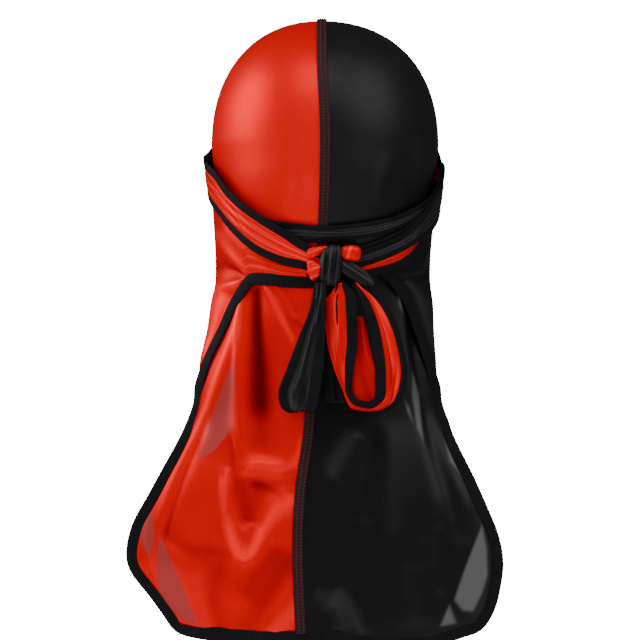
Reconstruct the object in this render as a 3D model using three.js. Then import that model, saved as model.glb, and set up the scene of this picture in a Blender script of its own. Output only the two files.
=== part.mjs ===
// A satin durag with one red half and one black half, in the form it has on a head, with its straps
// wrapped once round the head and tied at the back in a bow over the hanging tail.
// Millimetres, +Z up. The forehead faces -Y and the tail hangs on the +Y side, so a viewer behind the
// wearer has the red half, at +X, on the left. The origin is the inner top of the crown's cloth.
import * as THREE from 'three';

// Driving sizes of the crown, which is the head's size with the cloth on it.
const crownWidth = 155.5;
const crownDepth = 194;
const crownHeight = 86;
const crownRoundness = 2.25;
const napeDrop = 186;

// Driving sizes of the tail. A spread is how far its edge reaches sideways from the middle.
const hemDrop = 425;
const leftSpread = 124;
const rightSpread = 127;
const hemBackReach = 91;
const sideReach = 40;
const seamDrift = 18;
const crownDrift = 2.2;
const foldDepth = 5;
const drapeBulge = 4;

// Driving sizes of the cloth, its seam and its bindings.
const clothThickness = 1.2;
const seamWidth = 7;
const seamThickness = 1;
const tapeWidth = 5.5;
const tapeThickness = 1.4;
const hemTapeWidth = 8;
const clearance = 0.3;

// Driving sizes of the straps, the knot and the bow.
const strapWidth = 23.5;
const wrapPitch = 1.9;
const knotWidth = 32;
const knotHeight = 23;
const knotDepth = 14;
const bowLength = 84;
const bowWidth = 56;
const bowDepth = 14;

const red = 0xe01005;
const black = 0x101012;
const tapeGrey = 0x1a1c20;

const napeWidthShare = 0.87;
const napeBackShare = 0.785;
const foreheadShare = 0.97;
const degrees = Math.PI / 180;

// Angle round the head from the back at which the cap's lower line turns down into the tail's edge.
const sideAngle = 100;

// Head below its widest level. down: share of the way to the nape; width and back: shares of the
// crown's half width and half depth; side: share of how far back the cloth's sides hang.
const neckRows = [
  { down: 0, width: 1, back: 1, side: 0 },
  { down: 0.2, width: 0.965, back: 1, side: 0 },
  { down: 0.4, width: 0.935, back: 0.965, side: 0 },
  { down: 0.6, width: 0.9, back: 0.9, side: 0.04 },
  { down: 0.8, width: 0.875, back: 0.83, side: 0.14 },
  { down: 1, width: napeWidthShare, back: napeBackShare, side: 0.3 },
];

// Tail from the nape to the hem. down: share of the tail's length; left and right: share of the way
// from the nape's half width to each spread; back: share of the reach at the hem; side: share of how
// far back the cloth's sides hang; drift: share of the seam's drift sideways; edge: how far round the
// head the edge lies, as a share of sideAngle.
const tailRows = [
  { down: 0, left: 0.045, right: 0.03, back: 0, side: 0.3, drift: 0.25, edge: 0.84 },
  { down: 0.11, left: 0.12, right: 0.04, back: -0.05, side: 0.6, drift: 0.35, edge: 0.84 },
  { down: 0.22, left: 0.27, right: 0.075, back: 0, side: 0.85, drift: 0.46, edge: 0.84 },
  { down: 0.34, left: 0.34, right: 0.115, back: 0.1, side: 0.95, drift: 0.55, edge: 0.82 },
  { down: 0.42, left: 0.41, right: 0.23, back: 0.2, side: 0.9, drift: 0.64, edge: 0.66 },
  { down: 0.51, left: 0.56, right: 0.475, back: 0.34, side: 0.8, drift: 0.82, edge: 0.55 },
  { down: 0.6, left: 0.74, right: 0.73, back: 0.5, side: 0.65, drift: 0.95, edge: 0.48 },
  { down: 0.69, left: 0.94, right: 0.905, back: 0.65, side: 0.5, drift: 1, edge: 0.46 },
  { down: 0.77, left: 1, right: 1, back: 0.78, side: 0.42, drift: 1, edge: 0.45 },
  { down: 0.83, left: 0.78, right: 0.96, back: 0.85, side: 0.4, drift: 0.97, edge: 0.45 },
  { down: 0.9, left: 0.53, right: 0.885, back: 0.92, side: 0.4, drift: 0.93, edge: 0.45 },
  { down: 1, left: 0.29, right: 0.58, back: 1, side: 0.4, drift: 0.86, edge: 0.45 },
];

// Lower line of the cap, by the angle round the head from the back. drop: share of the nape's drop.
const rimRows = [
  { angle: 0, drop: 0.8 },
  { angle: 45, drop: 0.76 },
  { angle: 90, drop: 0.675 },
  { angle: 100, drop: 0.65 },
  { angle: 125, drop: 0.59 },
  { angle: 150, drop: 0.54 },
  { angle: 180, drop: 0.52 },
];

// Folds of the tail. Each runs from one place to another: across is a share of the side's spread,
// down a share of the tail's length, wide a share of the spread, deep a share of foldDepth.
const leftFolds = [
  { across: 0.33, down: 0.0, toAcross: 0.32, toDown: 0.3, wide: 0.055, deep: -0.8 },
  { across: 0.42, down: 0.02, toAcross: 0.47, toDown: 0.3, wide: 0.07, deep: 1 },
  { across: 0.29, down: 0.0, toAcross: 0.17, toDown: 0.12, wide: 0.05, deep: 0.5 },
  { across: 0.52, down: 0.2, toAcross: 0.82, toDown: 0.66, wide: 0.07, deep: 0.8 },
  { across: 0.38, down: 0.46, toAcross: 0.19, toDown: 0.5, wide: 0.06, deep: 0.8 },
  { across: 0.47, down: 0.58, toAcross: 0.4, toDown: 0.74, wide: 0.06, deep: 1 },
  { across: 0.38, down: 0.76, toAcross: 0.15, toDown: 0.52, wide: 0.06, deep: 1 },
  { across: 0.34, down: 0.54, toAcross: 0.33, toDown: 0.68, wide: 0.08, deep: -0.7 },
  { across: 0.62, down: 0.72, toAcross: 0.72, toDown: 0.98, wide: 0.08, deep: 0.9 },
  { across: 0.45, down: 0.82, toAcross: 0.5, toDown: 1, wide: 0.07, deep: -0.7 },
  { across: 0.28, down: 0.84, toAcross: 0.22, toDown: 1, wide: 0.07, deep: 0.8 },
];
const rightFolds = [
  { across: 0.4, down: 0.0, toAcross: 0.46, toDown: 0.32, wide: 0.06, deep: 1 },
  { across: 0.5, down: 0.16, toAcross: 0.6, toDown: 0.5, wide: 0.06, deep: 0.9 },
  { across: 0.25, down: 0.26, toAcross: 0.16, toDown: 0.5, wide: 0.07, deep: 0.7 },
  { across: 0.33, down: 0.36, toAcross: 0.4, toDown: 0.7, wide: 0.07, deep: -0.9 },
  { across: 0.76, down: 0.46, toAcross: 0.84, toDown: 0.85, wide: 0.07, deep: -0.8 },
  { across: 0.6, down: 0.62, toAcross: 0.66, toDown: 1, wide: 0.08, deep: 1 },
  { across: 0.2, down: 0.6, toAcross: 0.12, toDown: 1, wide: 0.08, deep: 0.7 },
];

// Gathered root of each strap with the side drape below it, by the angle from the back. top, bottom
// and cover, how far down the straps cover it: shares of the nape's drop; bulge: share of drapeBulge.
const leftDrapeRows = [
  { angle: 9, top: 0.865, bottom: 0.948, cover: 0.911, bulge: 0 },
  { angle: 20, top: 0.84, bottom: 0.945, cover: 0.898, bulge: 0.1 },
  { angle: 32, top: 0.8, bottom: 0.937, cover: 0.866, bulge: 0.2 },
  { angle: 42, top: 0.762, bottom: 0.937, cover: 0.828, bulge: 0.25 },
  { angle: 50, top: 0.728, bottom: 0.99, cover: 0.79, bulge: 0.3 },
  { angle: 58, top: 0.695, bottom: 1.07, cover: 0.753, bulge: 0.4 },
  { angle: 66, top: 0.655, bottom: 1.155, cover: 0.71, bulge: 0.6 },
  { angle: 74, top: 0.63, bottom: 1.245, cover: 0.67, bulge: 0.8 },
  { angle: 82, top: 0.59, bottom: 1.33, cover: 0.64, bulge: 1 },
  { angle: 89, top: 0.57, bottom: 1.345, cover: 0.62, bulge: 1 },
  { angle: 96, top: 0.56, bottom: 1.22, cover: 0.6, bulge: 0.6 },
  { angle: 102, top: 0.56, bottom: 1.08, cover: 0.58, bulge: 0.3 },
];
const rightDrapeRows = [
  { angle: 16, top: 0.76, bottom: 0.81, cover: 0.96, bulge: 0 },
  { angle: 24, top: 0.75, bottom: 0.85, cover: 0.955, bulge: 0 },
  { angle: 32, top: 0.74, bottom: 0.895, cover: 0.945, bulge: 0 },
  { angle: 41, top: 0.725, bottom: 0.93, cover: 0.93, bulge: 0.1 },
  { angle: 50, top: 0.7, bottom: 0.99, cover: 0.915, bulge: 0.15 },
  { angle: 58, top: 0.68, bottom: 1.07, cover: 0.9, bulge: 0.2 },
  { angle: 66, top: 0.655, bottom: 1.16, cover: 0.87, bulge: 0.3 },
  { angle: 74, top: 0.63, bottom: 1.25, cover: 0.82, bulge: 0.3 },
  { angle: 82, top: 0.6, bottom: 1.33, cover: 0.76, bulge: 0.3 },
  { angle: 89, top: 0.59, bottom: 1.34, cover: 0.71, bulge: 0.25 },
  { angle: 96, top: 0.58, bottom: 1.22, cover: 0.66, bulge: 0.2 },
  { angle: 102, top: 0.575, bottom: 1.08, cover: 0.63, bulge: 0.15 },
];

// Straps, by the angle turned round the head from the back. middle: share of the nape's drop;
// height: how tall the strap stands there, as a share of its width; wrap: how many layers out.
const leftStrapRows = [
  { turn: -7, middle: 0.914, height: 0.76, wrap: 1 },
  { turn: 10, middle: 0.903, height: 0.85, wrap: 1.25 },
  { turn: 20, middle: 0.892, height: 0.94, wrap: 2 },
  { turn: 31, middle: 0.872, height: 1.02, wrap: 2 },
  { turn: 45, middle: 0.85, height: 1.1, wrap: 2 },
  { turn: 58, middle: 0.8, height: 1.12, wrap: 2 },
  { turn: 70, middle: 0.722, height: 1.15, wrap: 2 },
  { turn: 90, middle: 0.605, height: 1.1, wrap: 2 },
  { turn: 105, middle: 0.53, height: 1, wrap: 2 },
  { turn: 125, middle: 0.433, height: 0.92, wrap: 2 },
  { turn: 150, middle: 0.363, height: 0.84, wrap: 2 },
  { turn: 180, middle: 0.339, height: 0.8, wrap: 2 },
  { turn: 210, middle: 0.363, height: 0.84, wrap: 2.4 },
  { turn: 235, middle: 0.443, height: 0.92, wrap: 3 },
  { turn: 255, middle: 0.526, height: 1, wrap: 3 },
  { turn: 270, middle: 0.562, height: 1.1, wrap: 3 },
  { turn: 294, middle: 0.632, height: 1.23, wrap: 3 },
  { turn: 308, middle: 0.707, height: 1.15, wrap: 3 },
  { turn: 322, middle: 0.7715, height: 1.15, wrap: 3 },
  { turn: 340, middle: 0.833, height: 1, wrap: 3 },
  { turn: 351, middle: 0.8645, height: 0.745, wrap: 3 },
];
const rightStrapRows = [
  { turn: -14.5, middle: 0.785, height: 0.42, wrap: 1 },
  { turn: 0, middle: 0.794, height: 0.44, wrap: 1 },
  { turn: 15, middle: 0.789, height: 0.52, wrap: 1 },
  { turn: 28, middle: 0.777, height: 0.6, wrap: 2 },
  { turn: 40, middle: 0.753, height: 0.72, wrap: 2 },
  { turn: 52, middle: 0.704, height: 0.77, wrap: 2 },
  { turn: 66, middle: 0.634, height: 0.85, wrap: 2 },
  { turn: 90, middle: 0.555, height: 0.85, wrap: 2 },
  { turn: 105, middle: 0.53, height: 0.85, wrap: 2 },
  { turn: 125, middle: 0.522, height: 0.8, wrap: 2 },
  { turn: 150, middle: 0.487, height: 0.76, wrap: 2 },
  { turn: 180, middle: 0.46, height: 0.74, wrap: 2 },
  { turn: 210, middle: 0.487, height: 0.76, wrap: 3 },
  { turn: 235, middle: 0.522, height: 0.82, wrap: 3 },
  { turn: 255, middle: 0.56, height: 1, wrap: 3 },
  { turn: 270, middle: 0.615, height: 1.3, wrap: 3 },
  { turn: 290, middle: 0.7, height: 1.12, wrap: 3 },
  { turn: 302, middle: 0.757, height: 0.8, wrap: 3 },
  { turn: 318, middle: 0.82, height: 0.5, wrap: 3 },
  { turn: 341, middle: 0.877, height: 0.47, wrap: 3 },
];

// Pillows of the tied knot. x and z: place of the middle, w and h: size, all as shares of the
// knot's width and height from its middle.
const knotRows = [
  { name: 'knot_wrap', paint: black, x: 0.06, z: 0, w: 0.27, h: 1 },
  { name: 'knot_red_left', paint: red, x: 0.36, z: -0.05, w: 0.3, h: 0.9 },
  { name: 'knot_red_right', paint: red, x: -0.28, z: 0.23, w: 0.38, h: 0.44 },
  { name: 'knot_black_right', paint: black, x: -0.28, z: -0.25, w: 0.38, h: 0.5 },
];
const knotPlaceAcross = -5.5;

// Bow loops. Each row is a place round the loop; near is the edge towards the viewer behind the
// wearer and far the edge by the tail. Across and down are shares of the bow's width and length, and
// open is how far apart the two edges stand, as a share of the bow's depth.
const rightBowRows = [
  { round: 0, nearX: -0.2, nearDown: 0, farX: -0.13, farDown: 0, open: 0.4 },
  { round: 0.1, nearX: -0.31, nearDown: 0.14, farX: -0.02, farDown: 0.14, open: 0.8 },
  { round: 0.25, nearX: -0.345, nearDown: 0.45, farX: -0.05, farDown: 0.41, open: 1 },
  { round: 0.36, nearX: -0.285, nearDown: 0.68, farX: -0.13, farDown: 0.63, open: 1 },
  { round: 0.44, nearX: -0.27, nearDown: 0.82, farX: -0.2, farDown: 0.82, open: 1 },
  { round: 0.5, nearX: -0.35, nearDown: 0.92, farX: -0.31, farDown: 0.97, open: 1 },
  { round: 0.56, nearX: -0.49, nearDown: 0.93, farX: -0.6, farDown: 1, open: 1 },
  { round: 0.63, nearX: -0.6, nearDown: 0.85, farX: -0.86, farDown: 0.93, open: 1 },
  { round: 0.73, nearX: -0.6, nearDown: 0.64, farX: -0.95, farDown: 0.71, open: 1 },
  { round: 0.83, nearX: -0.55, nearDown: 0.41, farX: -0.87, farDown: 0.41, open: 1 },
  { round: 0.93, nearX: -0.45, nearDown: 0.16, farX: -0.66, farDown: 0.14, open: 0.8 },
  { round: 1, nearX: -0.32, nearDown: 0, farX: -0.38, farDown: 0, open: 0.4 },
];
const leftBowRows = [
  { round: 0, nearX: 0.12, nearDown: 0, farX: 0.18, farDown: 0, open: 0.4 },
  { round: 0.15, nearX: 0.15, nearDown: 0.27, farX: 0.24, farDown: 0.21, open: 1 },
  { round: 0.3, nearX: 0.25, nearDown: 0.56, farX: 0.38, farDown: 0.52, open: 1 },
  { round: 0.42, nearX: 0.33, nearDown: 0.79, farX: 0.53, farDown: 0.78, open: 1 },
  { round: 0.5, nearX: 0.32, nearDown: 0.94, farX: 0.47, farDown: 0.94, open: 1 },
  { round: 0.57, nearX: 0.2, nearDown: 0.98, farX: 0.26, farDown: 1, open: 1 },
  { round: 0.64, nearX: 0.13, nearDown: 0.9, farX: 0.13, farDown: 0.92, open: 1 },
  { round: 0.77, nearX: 0.1, nearDown: 0.67, farX: 0.08, farDown: 0.67, open: 1 },
  { round: 0.9, nearX: 0.06, nearDown: 0.32, farX: 0.06, farDown: 0.32, open: 0.9 },
  { round: 1, nearX: 0.06, nearDown: 0, farX: 0.06, farDown: 0, open: 0.4 },
];

// How finely each surface is divided.
const crownSteps = 12;
const sideColumns = 11;
const frontColumns = 7;
const tailSteps = 20;
const drapeSteps = 12;
const drapeColumns = 14;
const strapSteps = 54;
const bowSteps = 20;

const mix = (a, b, share) => a + (b - a) * share;
const smooth = (from, to, value) => THREE.MathUtils.smoothstep(value, from, to);

// Reads a table at a place between its rows, with smooth curves that never overshoot a row.
function readTable(rows, key, place) {
  const last = rows.length - 1;
  const at = Math.min(Math.max(place, rows[0][key]), rows[last][key]);
  let k = 0;
  while (k < last - 1 && rows[k + 1][key] < at) k += 1;
  const span = rows[k + 1][key] - rows[k][key];
  const t = (at - rows[k][key]) / span;
  const rise = (column, n) => (rows[n + 1][column] - rows[n][column]) / (rows[n + 1][key] - rows[n][key]);
  const slope = (column, n) => {
    if (n === 0) return rise(column, 0);
    if (n === last) return rise(column, last - 1);
    const before = rise(column, n - 1);
    const after = rise(column, n);
    return before * after <= 0 ? 0 : (2 * before * after) / (before + after);
  };
  const row = {};
  for (const column of Object.keys(rows[k])) {
    const a = rows[k][column];
    const b = rows[k + 1][column];
    const push = (1 - t) * (1 - t) * t * span * slope(column, k);
    const pull = t * t * (1 - t) * span * slope(column, k + 1);
    row[column] = a * (1 + 2 * t) * (1 - t) * (1 - t) + b * t * t * (3 - 2 * t) + push - pull;
  }
  return row;
}

// Size of the head and tail at a drop below the crown's top, on the left side or the right.
function sectionAt(drop, leftSide) {
  const half = crownWidth / 2;
  const deep = crownDepth / 2;
  if (drop <= crownHeight) {
    const rise = Math.max(1 - Math.max(drop, 0) / crownHeight, 0);
    const share = Math.pow(1 - Math.pow(rise, crownRoundness), 1 / crownRoundness);
    const drift = crownDrift * (1 - smooth(crownHeight / 3, crownHeight, drop));
    return { half: half * share, back: deep * share, side: 0, front: deep * share, drift, edge: 1 };
  }
  const napeShare = (drop - crownHeight) / (napeDrop - crownHeight);
  if (napeShare <= 1) {
    const neck = readTable(neckRows, 'down', napeShare);
    const front = deep * mix(1, foreheadShare, napeShare);
    const drift = seamDrift * tailRows[0].drift * napeShare * napeShare;
    const side = sideReach * neck.side;
    return { half: half * neck.width, back: deep * neck.back, side, front, drift, edge: 1 };
  }
  const tail = readTable(tailRows, 'down', (drop - napeDrop) / (hemDrop - hemTapeWidth - napeDrop));
  const spread = (leftSide ? leftSpread : rightSpread) - hemTapeWidth;
  const flare = mix(half * napeWidthShare, spread, leftSide ? tail.left : tail.right);
  return {
    half: flare / Math.sin(sideAngle * tail.edge * degrees),
    edge: tail.edge,
    back: mix(deep * napeBackShare, hemBackReach, tail.back),
    side: sideReach * tail.side,
    front: deep * foreheadShare,
    drift: seamDrift * tail.drift,
  };
}

// A point of the cloth at an angle round the head from the back, positive on the left side.
function surfacePoint(drop, angle) {
  const leftSide = angle >= 0;
  const s = sectionAt(drop, leftSide);
  const turn = angle * degrees;
  const reach = Math.cos(turn) > 0 ? s.back - s.side : s.front + s.side;
  const topShare = Math.exp(-drop / (crownHeight / 8));
  const drift = s.drift * mix(Math.cos(turn) ** 2, 1, topShare);
  const across = s.half * Math.sin(turn) + drift;
  return new THREE.Vector3(across, s.side + reach * Math.cos(turn), clothThickness / 2 - drop);
}
const dropOf = (point) => clothThickness / 2 - point.z;

// The direction out of the cloth there, square to two short steps over the surface.
function surfaceNormal(drop, angle) {
  const step = 0.5;
  if (drop < step / 10) return new THREE.Vector3(0, 0, 1);
  const inside = angle >= 0 ? Math.max(angle, step) : Math.min(angle, -step);
  const round = surfacePoint(drop, inside + step).sub(surfacePoint(drop, inside - step));
  const down = surfacePoint(drop + step, angle).sub(surfacePoint(Math.max(drop - step, 0), angle));
  const normal = round.cross(down).normalize();
  if (Math.abs(angle) < step || Math.abs(angle) > 180 - step) normal.x = 0;
  return normal.normalize();
}

function liftedPoint(drop, angle, lift) {
  return surfacePoint(drop, angle).addScaledVector(surfaceNormal(drop, angle), lift);
}

const layerLift = (wrap) => clothThickness + seamThickness + clearance + (wrap - 1 + 0.2) * wrapPitch;

// How far the folds push the tail's cloth out at a point, with none beside the seam or at its top.
function foldLift(point, middle, rows, spread) {
  const tailLength = hemDrop - napeDrop;
  const across = Math.abs(point.x - middle);
  let lift = 0;
  for (const fold of rows) {
    const from = new THREE.Vector2(fold.across * spread, fold.down * tailLength);
    const to = new THREE.Vector2(fold.toAcross * spread, fold.toDown * tailLength);
    const here = new THREE.Vector2(across, dropOf(point) - napeDrop);
    const way = to.clone().sub(from);
    const along = THREE.MathUtils.clamp(here.clone().sub(from).dot(way) / way.lengthSq(), 0, 1);
    const apart = here.distanceTo(from.addScaledVector(way, along)) / (fold.wide * spread);
    lift += foldDepth * fold.deep * Math.exp(-apart * apart);
  }
  return lift * smooth(seamWidth * 1.5, seamWidth * 3.5, across);
}

// Turns corner points and faces into one closed solid whose faces point out.
function solid(points, faces) {
  const corners = [];
  const a = new THREE.Vector3();
  let volume = 0;
  for (const [i, j, k] of faces) {
    const flat = [[i, j], [j, k], [k, i]].some(([m, n]) => points[m].distanceTo(points[n]) < 1e-3);
    if (flat) continue;
    volume += a.copy(points[i]).cross(points[j]).dot(points[k]);
    corners.push(i, j, k);
  }
  if (volume < 0) corners.reverse();
  const geometry = new THREE.BufferGeometry();
  geometry.setAttribute('position', new THREE.Float32BufferAttribute(points.flatMap((p) => p.toArray()), 3));
  geometry.setIndex(corners);
  return geometry;
}

// A sheet of cloth over a grid of places, each with a point and a normal. Cells that are left out
// of the grid leave an open edge, and every edge is closed by a wall.
function sheet(grid, thickness, hasCell) {
  const rows = grid.length;
  const columns = grid[0].length;
  const points = [];
  for (const row of grid) {
    for (const place of row) {
      points.push(place.point.clone().addScaledVector(place.normal, thickness / 2));
      points.push(place.point.clone().addScaledVector(place.normal, -thickness / 2));
    }
  }
  const outer = (i, j) => 2 * (i * columns + j);
  const filled = (i, j) => i >= 0 && j >= 0 && i < rows - 1 && j < columns - 1 && hasCell(i, j);
  const faces = [];
  const wall = (p, q) => faces.push([p, p + 1, q], [q, p + 1, q + 1]);
  for (let i = 0; i < rows - 1; i += 1) {
    for (let j = 0; j < columns - 1; j += 1) {
      if (!filled(i, j)) continue;
      const [p, q, r, s] = [outer(i, j), outer(i, j + 1), outer(i + 1, j + 1), outer(i + 1, j)];
      faces.push([p, q, r], [p, r, s], [p + 1, r + 1, q + 1], [p + 1, s + 1, r + 1]);
      if (!filled(i - 1, j)) wall(p, q);
      if (!filled(i, j + 1)) wall(q, r);
      if (!filled(i + 1, j)) wall(r, s);
      if (!filled(i, j - 1)) wall(s, p);
    }
  }
  return solid(points, faces);
}
const everyCell = () => true;

// A flat tape along places that each give its middle, its width's direction, its normal and, where
// it is gathered, its share of the full width.
function tape(places, fullWidth, thickness) {
  const points = [];
  for (const { point, sideways, normal, share = 1 } of places) {
    const width = fullWidth * share;
    for (const [across, out] of [[1, 1], [-1, 1], [-1, -1], [1, -1]]) {
      const corner = point.clone().addScaledVector(sideways, (across * width) / 2);
      points.push(corner.addScaledVector(normal, (out * thickness) / 2));
    }
  }
  const faces = [];
  for (let i = 0; i < places.length - 1; i += 1) {
    for (let k = 0; k < 4; k += 1) {
      const [p, q] = [4 * i + k, 4 * i + ((k + 1) % 4)];
      faces.push([p, q, q + 4], [p, q + 4, p + 4]);
    }
  }
  const end = 4 * (places.length - 1);
  faces.push([0, 2, 1], [0, 3, 2], [end, end + 1, end + 2], [end, end + 2, end + 3]);
  return solid(points, faces);
}

function named(name, geometry, paint) {
  const material = new THREE.MeshStandardMaterial({ color: paint, roughness: 0.4, metalness: 0 });
  const mesh = new THREE.Mesh(geometry, material);
  mesh.name = name;
  return mesh;
}

// Angle of a column of a panel, evenly spaced to the side corner and from there to the forehead.
function columnAngle(column) {
  if (column <= sideColumns) return (sideAngle * column) / sideColumns;
  return sideAngle + ((180 - sideAngle) * (column - sideColumns)) / frontColumns;
}

// One place of a panel: crown rows run from the crown's top to the rim, tail rows on to the hem.
function panelPlace(row, column, direction) {
  const crownAngle = columnAngle(column);
  const rimDrop = napeDrop * readTable(rimRows, 'angle', crownAngle).drop;
  if (row <= crownSteps) {
    const drop = rimDrop * (1 - Math.cos((row / crownSteps) * 90 * degrees));
    const point = surfacePoint(drop, direction * crownAngle);
    point.x += (direction * clearance) / 2;
    return { point, normal: surfaceNormal(drop, direction * crownAngle) };
  }
  const share = (row - crownSteps) / tailSteps;
  const hemRise = hemTapeWidth * (1 + Math.cos(crownAngle * degrees) ** 2);
  const drop = mix(rimDrop, hemDrop - hemRise, share);
  const section = sectionAt(drop, direction > 0);
  const gathered = smooth(0, 0.2, share);
  const edgeShare = mix(1, Math.min(section.edge, tailRows[0].edge), gathered);
  const angle = direction * crownAngle * edgeShare;
  const point = surfacePoint(drop, angle);
  const folds = direction > 0 ? leftFolds : rightFolds;
  const spread = direction > 0 ? leftSpread : rightSpread;
  const normal = surfaceNormal(drop, angle);
  const drapeRows = direction > 0 ? leftDrapeRows : rightDrapeRows;
  const drapeDrop = napeDrop * readTable(drapeRows, 'angle', Math.abs(angle)).bottom;
  const bare = smooth(drapeDrop + 2.5 * hemTapeWidth, drapeDrop + 6 * hemTapeWidth, drop);
  point.addScaledVector(normal, bare * foldLift(point, section.drift, folds, spread));
  point.x += (direction * clearance) / 2;
  return { point, normal };
}

function panelGrid(direction) {
  const grid = [];
  for (let row = 0; row <= crownSteps + tailSteps; row += 1) {
    const places = [];
    for (let column = 0; column <= sideColumns + frontColumns; column += 1) {
      places.push(panelPlace(row, column, direction));
    }
    grid.push(places);
  }
  return grid;
}

function panel(name, direction, paint) {
  const hasCell = (row, column) => row < crownSteps || column < sideColumns;
  return named(name, sheet(panelGrid(direction), clothThickness, hasCell), paint);
}

// The seam's band lies on both panels from the forehead over the crown to the hem.
function centerSeam() {
  const lift = clothThickness / 2 + clearance + seamThickness / 2;
  const places = [];
  const add = (row, column) => {
    const { point, normal } = panelPlace(row, column, 1);
    point.x -= clearance / 2;
    point.addScaledVector(normal, lift);
    places.push({ point, normal, sideways: new THREE.Vector3(1, 0, 0) });
  };
  for (let row = crownSteps; row > 0; row -= 1) add(row, sideColumns + frontColumns);
  for (let row = 0; row <= crownSteps + tailSteps; row += 1) add(row, 0);
  return named('center_seam', tape(places, seamWidth, seamThickness), tapeGrey);
}

// Gathers fan out from the knot: waves across the drape that grow away from its covered top.
function drapePlace(rows, angle, share, direction) {
  const row = readTable(rows, 'angle', angle);
  const drop = napeDrop * mix(row.top, row.bottom, share);
  const cover = napeDrop * row.cover;
  const open = smooth(cover, cover + strapWidth, drop) * (1 - smooth(0.8, 1, share));
  const gathers = 0.5 * Math.sin(share * 5 * Math.PI) * open;
  const lift = layerLift(1) + drapeBulge * (row.bulge * Math.sin(share * Math.PI) * open + gathers * 0.4);
  return {
    point: liftedPoint(drop, direction * angle, lift),
    normal: surfaceNormal(drop, direction * angle),
  };
}

function drapeGrid(rows, direction) {
  const grid = [];
  const [first, last] = [rows[0].angle, rows[rows.length - 1].angle];
  for (let column = 0; column <= drapeColumns; column += 1) {
    const places = [];
    for (let step = 0; step <= drapeSteps; step += 1) {
      const angle = mix(first, last, column / drapeColumns);
      places.push(drapePlace(rows, angle, step / drapeSteps, direction));
    }
    grid.push(places);
  }
  return grid;
}

function drape(name, rows, direction, paint) {
  return named(name, sheet(drapeGrid(rows, direction), clothThickness, everyCell), paint);
}

// Places along an edge, moved out of the cloth by half a tape's width and the clearance. The cloth
// lies on the side given by inside, a point of the cloth for each place.
function edgeTape(edge, width) {
  return edge.map((place, k) => {
    const before = edge[Math.max(k - 1, 0)].point;
    const after = edge[Math.min(k + 1, edge.length - 1)].point;
    const along = after.clone().sub(before);
    const sideways = along.cross(place.normal).normalize();
    const outward = sideways.dot(place.inside.clone().sub(place.point)) > 0 ? -1 : 1;
    const point = place.point.clone().addScaledVector(sideways, outward * (width / 2 + clearance));
    return { point, sideways, normal: place.normal };
  });
}

// The bound edge of a strap's root and drape, from the knot down to where it crosses the tail's
// edge, and the tail's own edge from there to the hem, where it settles into the panel's level.
const crossingAngle = 84;

function rootEdge(rows, direction, firstColumn) {
  const first = rows[0].angle;
  const step = (rows[rows.length - 1].angle - first) / drapeColumns;
  const lastColumn = Math.floor((crossingAngle - first) / step);
  const columns = drapeGrid(rows, direction).slice(firstColumn, lastColumn + 1);
  return columns.map((column) => ({ ...column[drapeSteps], inside: column[drapeSteps - 1].point }));
}

function tailEdge(direction, crossing) {
  const edge = [];
  for (let row = crownSteps + 1; row <= crownSteps + tailSteps; row += 1) {
    const { point, normal } = panelPlace(row, sideColumns, direction);
    if (dropOf(point) < crossing) continue;
    const settled = smooth(crossing, crossing + 5 * hemTapeWidth, dropOf(point));
    point.addScaledVector(normal, layerLift(1) * (1 - settled));
    edge.push({ point, normal, inside: panelPlace(row, sideColumns - 1, direction).point });
  }
  return edge;
}

function hemEdge(direction) {
  const edge = [];
  const row = crownSteps + tailSteps;
  for (let column = sideColumns - 1; column > 0; column -= 1) {
    edge.push({ ...panelPlace(row, column, direction), inside: panelPlace(row - 1, column, direction).point });
  }
  return edge;
}

function tailBinding() {
  const crossing = napeDrop * readTable(leftDrapeRows, 'angle', crossingAngle).bottom + hemTapeWidth;
  const leftRoot = rootEdge(leftDrapeRows, 1, 0);
  const rightRoot = rootEdge(rightDrapeRows, -1, 2).reverse();
  const hem = [...hemEdge(1), ...hemEdge(-1).reverse()];
  const around = [...tailEdge(1, crossing), ...hem, ...tailEdge(-1, crossing).reverse()];
  const places = [leftRoot, around, rightRoot].flatMap((edge) => edgeTape(edge, hemTapeWidth));
  return named('tail_binding', tape(places, hemTapeWidth, tapeThickness), tapeGrey);
}

function frontBinding() {
  const edge = [];
  const row = crownSteps;
  const lastColumn = sideColumns + frontColumns;
  const add = (column, direction) => {
    edge.push({
      ...panelPlace(row, column, direction),
      inside: panelPlace(row - 1, column, direction).point,
    });
  };
  for (let column = sideColumns + 1; column < lastColumn; column += 1) add(column, 1);
  for (let column = lastColumn - 1; column > sideColumns; column -= 1) add(column, -1);
  return named('front_binding', tape(edgeTape(edge, hemTapeWidth), hemTapeWidth, tapeThickness), tapeGrey);
}

// A strap with its two edge tapes. down runs from the upper edge, 0, to the lower edge, 1.
function strapPlace(rows, direction, turn, down, outward) {
  const row = readTable(rows, 'turn', turn);
  const drop = napeDrop * row.middle + strapWidth * row.height * (down - 0.5) + outward;
  let angle = -direction * turn;
  if (angle > 180) angle -= 360;
  if (angle < -180) angle += 360;
  return {
    point: liftedPoint(drop, angle, layerLift(row.wrap)),
    normal: surfaceNormal(drop, angle),
  };
}

// A strap gathered to less than this share of its width draws its tapes together too.
const looseHeight = 0.8;

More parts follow.
